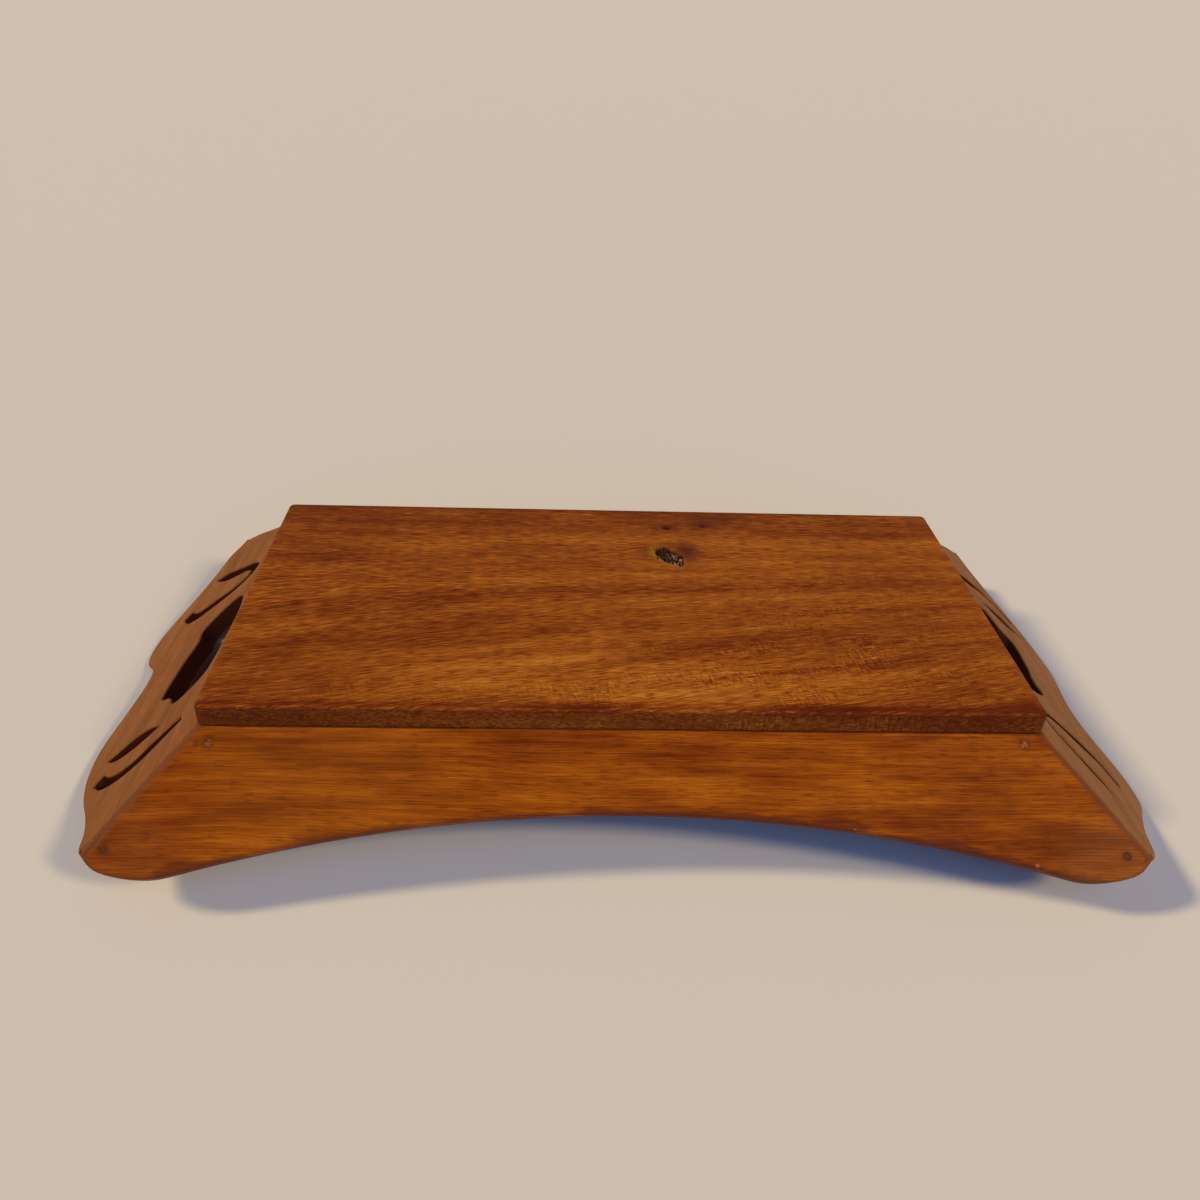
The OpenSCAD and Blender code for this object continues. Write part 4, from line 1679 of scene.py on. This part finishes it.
def nail_stem(tree, sizes):
    """A level shank with its point, behind the head."""
    under_head = add_node(
        tree, "ShaderNodeMath", {0: sizes["Nail Length"], 1: sizes["Head Thickness"]}, operation="SUBTRACT")
    length = add_node(
        tree, "ShaderNodeMath", {0: under_head.outputs[0], 1: sizes["Point Length"]}, operation="SUBTRACT")
    shank = add_node(tree, "GeometryNodeMeshCylinder", {
        "Vertices": SHANK_SIDES, "Radius": sizes["Shank Radius"], "Depth": length.outputs[0]})
    stem = raised(
        tree, shank.outputs["Mesh"], shank.outputs["Top"], sizes["Point Length"], POINT_BLUNTNESS)[0]
    half_length = add_node(tree, "ShaderNodeMath", {0: length.outputs[0], 1: 0.5}, operation="MULTIPLY")
    reach = add_node(tree, "ShaderNodeMath", {0: half_length.outputs[0], 1: sizes["Head Thickness"]})
    shift = add_node(tree, "ShaderNodeCombineXYZ", {"Y": reach.outputs[0]})
    return add_node(tree, "GeometryNodeTransform", {
        "Geometry": stem, "Rotation": (-math.pi / 2, 0, 0), "Translation": shift.outputs[0]})


print("Point of", NAIL_SIZES["Point Length"] / MM, "mm on a shank with", SHANK_SIDES, "sides")

# %% [markdown]
# The tree joins head and shank to one nail and sets it at every point of its mesh, turned the way that the
# point says and tilted a little by chance.

# %% Nail tree
NAIL_SEED = 5


def nail_tree():
    """Tree that drives one nail at every point of a mesh, along Y, turned by the attribute driven."""
    tree = node_group("corner_nails", NAIL_SIZES)
    sizes = add_node(tree, "NodeGroupInput").outputs
    nail = add_node(tree, "GeometryNodeJoinGeometry")
    for part in (nail_head(tree, sizes), nail_stem(tree, sizes)):
        tree.links.new(part.outputs[0], nail.inputs[0])
    driven = add_node(tree, "GeometryNodeInputNamedAttribute", {"Name": "driven"}, data_type="FLOAT")
    tilt = either_way(tree, sizes["Wobble"], sizes["Seed"])
    turn = add_node(tree, "ShaderNodeCombineXYZ", {"X": tilt, "Z": driven.outputs["Attribute"]})
    set_in = add_node(tree, "GeometryNodeInstanceOnPoints", {
        "Points": sizes["Geometry"], "Instance": nail.outputs[0], "Rotation": turn.outputs[0]})
    end_tree(tree, set_in.outputs[0], sizes["Material"])
    return tree


print("Nails are tilted by up to", round(math.degrees(NAIL_SIZES["Wobble"]), 1), "degrees, seed", NAIL_SEED)

# %% [markdown]
# The nails are plain drawn steel that has gone dull and dark, with brown rust in the pits. Two of them were
# filed brighter when their corners were sanded, which each nail stores as its polish. Rust and grime aren't
# metal, so the metallic number is low.

# %% Dulled steel
SPECKS_PER_MM = 0.9
SCRATCHES_PER_MM = 3.0
RUST_EDGE = (0.45, 0.62)
STEEL_COLOUR = "#54290f"
FILED_COLOUR = "#94512a"
RUST_COLOUR = "#4c230f"
STEEL_METALLIC = 0.1
STEEL_SPECULAR = 0.04
LEAST_STEEL_ROUGHNESS = 0.4
STEEL_ROUGHNESS_SPREAD = 0.3
PIT_DEPTH = 0.06 * MM


def dulled_steel():
    """Drawn steel, dulled and specked with rust. The attribute polish makes a head brighter."""
    # Dulled steel gives the eye small dark discs that hardly shine, brown and pitted like the wood's stains
    material, tree = empty_material("dulled_drawn_steel")
    place = add_node(tree, "ShaderNodeTexCoord").outputs["Object"]
    specks = add_node(
        tree, "ShaderNodeTexNoise", {"Vector": place, "Scale": SPECKS_PER_MM / MM, "Detail": 3.0})
    scratches = add_node(
        tree, "ShaderNodeTexNoise", {"Vector": place, "Scale": SCRATCHES_PER_MM / MM, "Detail": 1.0})
    polish = add_node(tree, "ShaderNodeAttribute", attribute_name="polish")
    rust = add_node(tree, "ShaderNodeMapRange", {
        "Value": specks.outputs["Fac"], "From Min": RUST_EDGE[0], "From Max": RUST_EDGE[1],
    }, interpolation_type="SMOOTHSTEP")
    bare = add_node(tree, "ShaderNodeMix", {
        0: polish.outputs["Fac"], LOWER_COLOUR: linear(STEEL_COLOUR), UPPER_COLOUR: linear(FILED_COLOUR),
    }, data_type="RGBA")
    colour = add_node(tree, "ShaderNodeMix", {
        0: rust.outputs[0], LOWER_COLOUR: bare.outputs[MIXED_COLOUR], UPPER_COLOUR: linear(RUST_COLOUR),
    }, data_type="RGBA")
    roughness = add_node(
        tree, "ShaderNodeMath",
        {0: scratches.outputs["Fac"], 1: STEEL_ROUGHNESS_SPREAD, 2: LEAST_STEEL_ROUGHNESS},
        operation="MULTIPLY_ADD")
    bump = add_node(
        tree, "ShaderNodeBump", {"Strength": 1.0, "Distance": PIT_DEPTH, "Height": specks.outputs["Fac"]})
    shader = add_node(tree, "ShaderNodeBsdfPrincipled", {
        "Base Color": colour.outputs[MIXED_COLOUR], "Metallic": STEEL_METALLIC,
        "Roughness": roughness.outputs[0], "Specular IOR Level": STEEL_SPECULAR, "Normal": bump.outputs[0]})
    add_node(tree, "ShaderNodeOutputMaterial", {"Surface": shader.outputs[0]})
    return material


nail_steel = dulled_steel()
print(nail_steel.name, "has", len(nail_steel.node_tree.nodes), "nodes")

# %% [markdown]
# The nails of the back side are driven the other way, which is half a turn. All eight go into one mesh, as
# they ride on one body and share one material.

# %% Drive the nails
POLISH = {"front_right_upper_nail": 0.7, "front_left_upper_nail": 0.5}

nail_points = bpy.data.meshes.new("nail_points")
nail_points.from_pydata(list(NAIL_PLACES.values()), [], [])
store(nail_points, "driven", [0.0 if place.y < 0 else math.pi for place in NAIL_PLACES.values()])
store(nail_points, "polish", [POLISH.get(node, 0.0) for node in NAIL_PLACES])
nail_inputs = {**NAIL_SIZES, "Seed": NAIL_SEED, "Material": nail_steel}
nail_mesh = made_by_nodes("corner_nails", nail_points, nail_tree(), nail_inputs)
nails = new_piece("corner_nails", nail_mesh)
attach(nails, "root")
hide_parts(*NAILS)
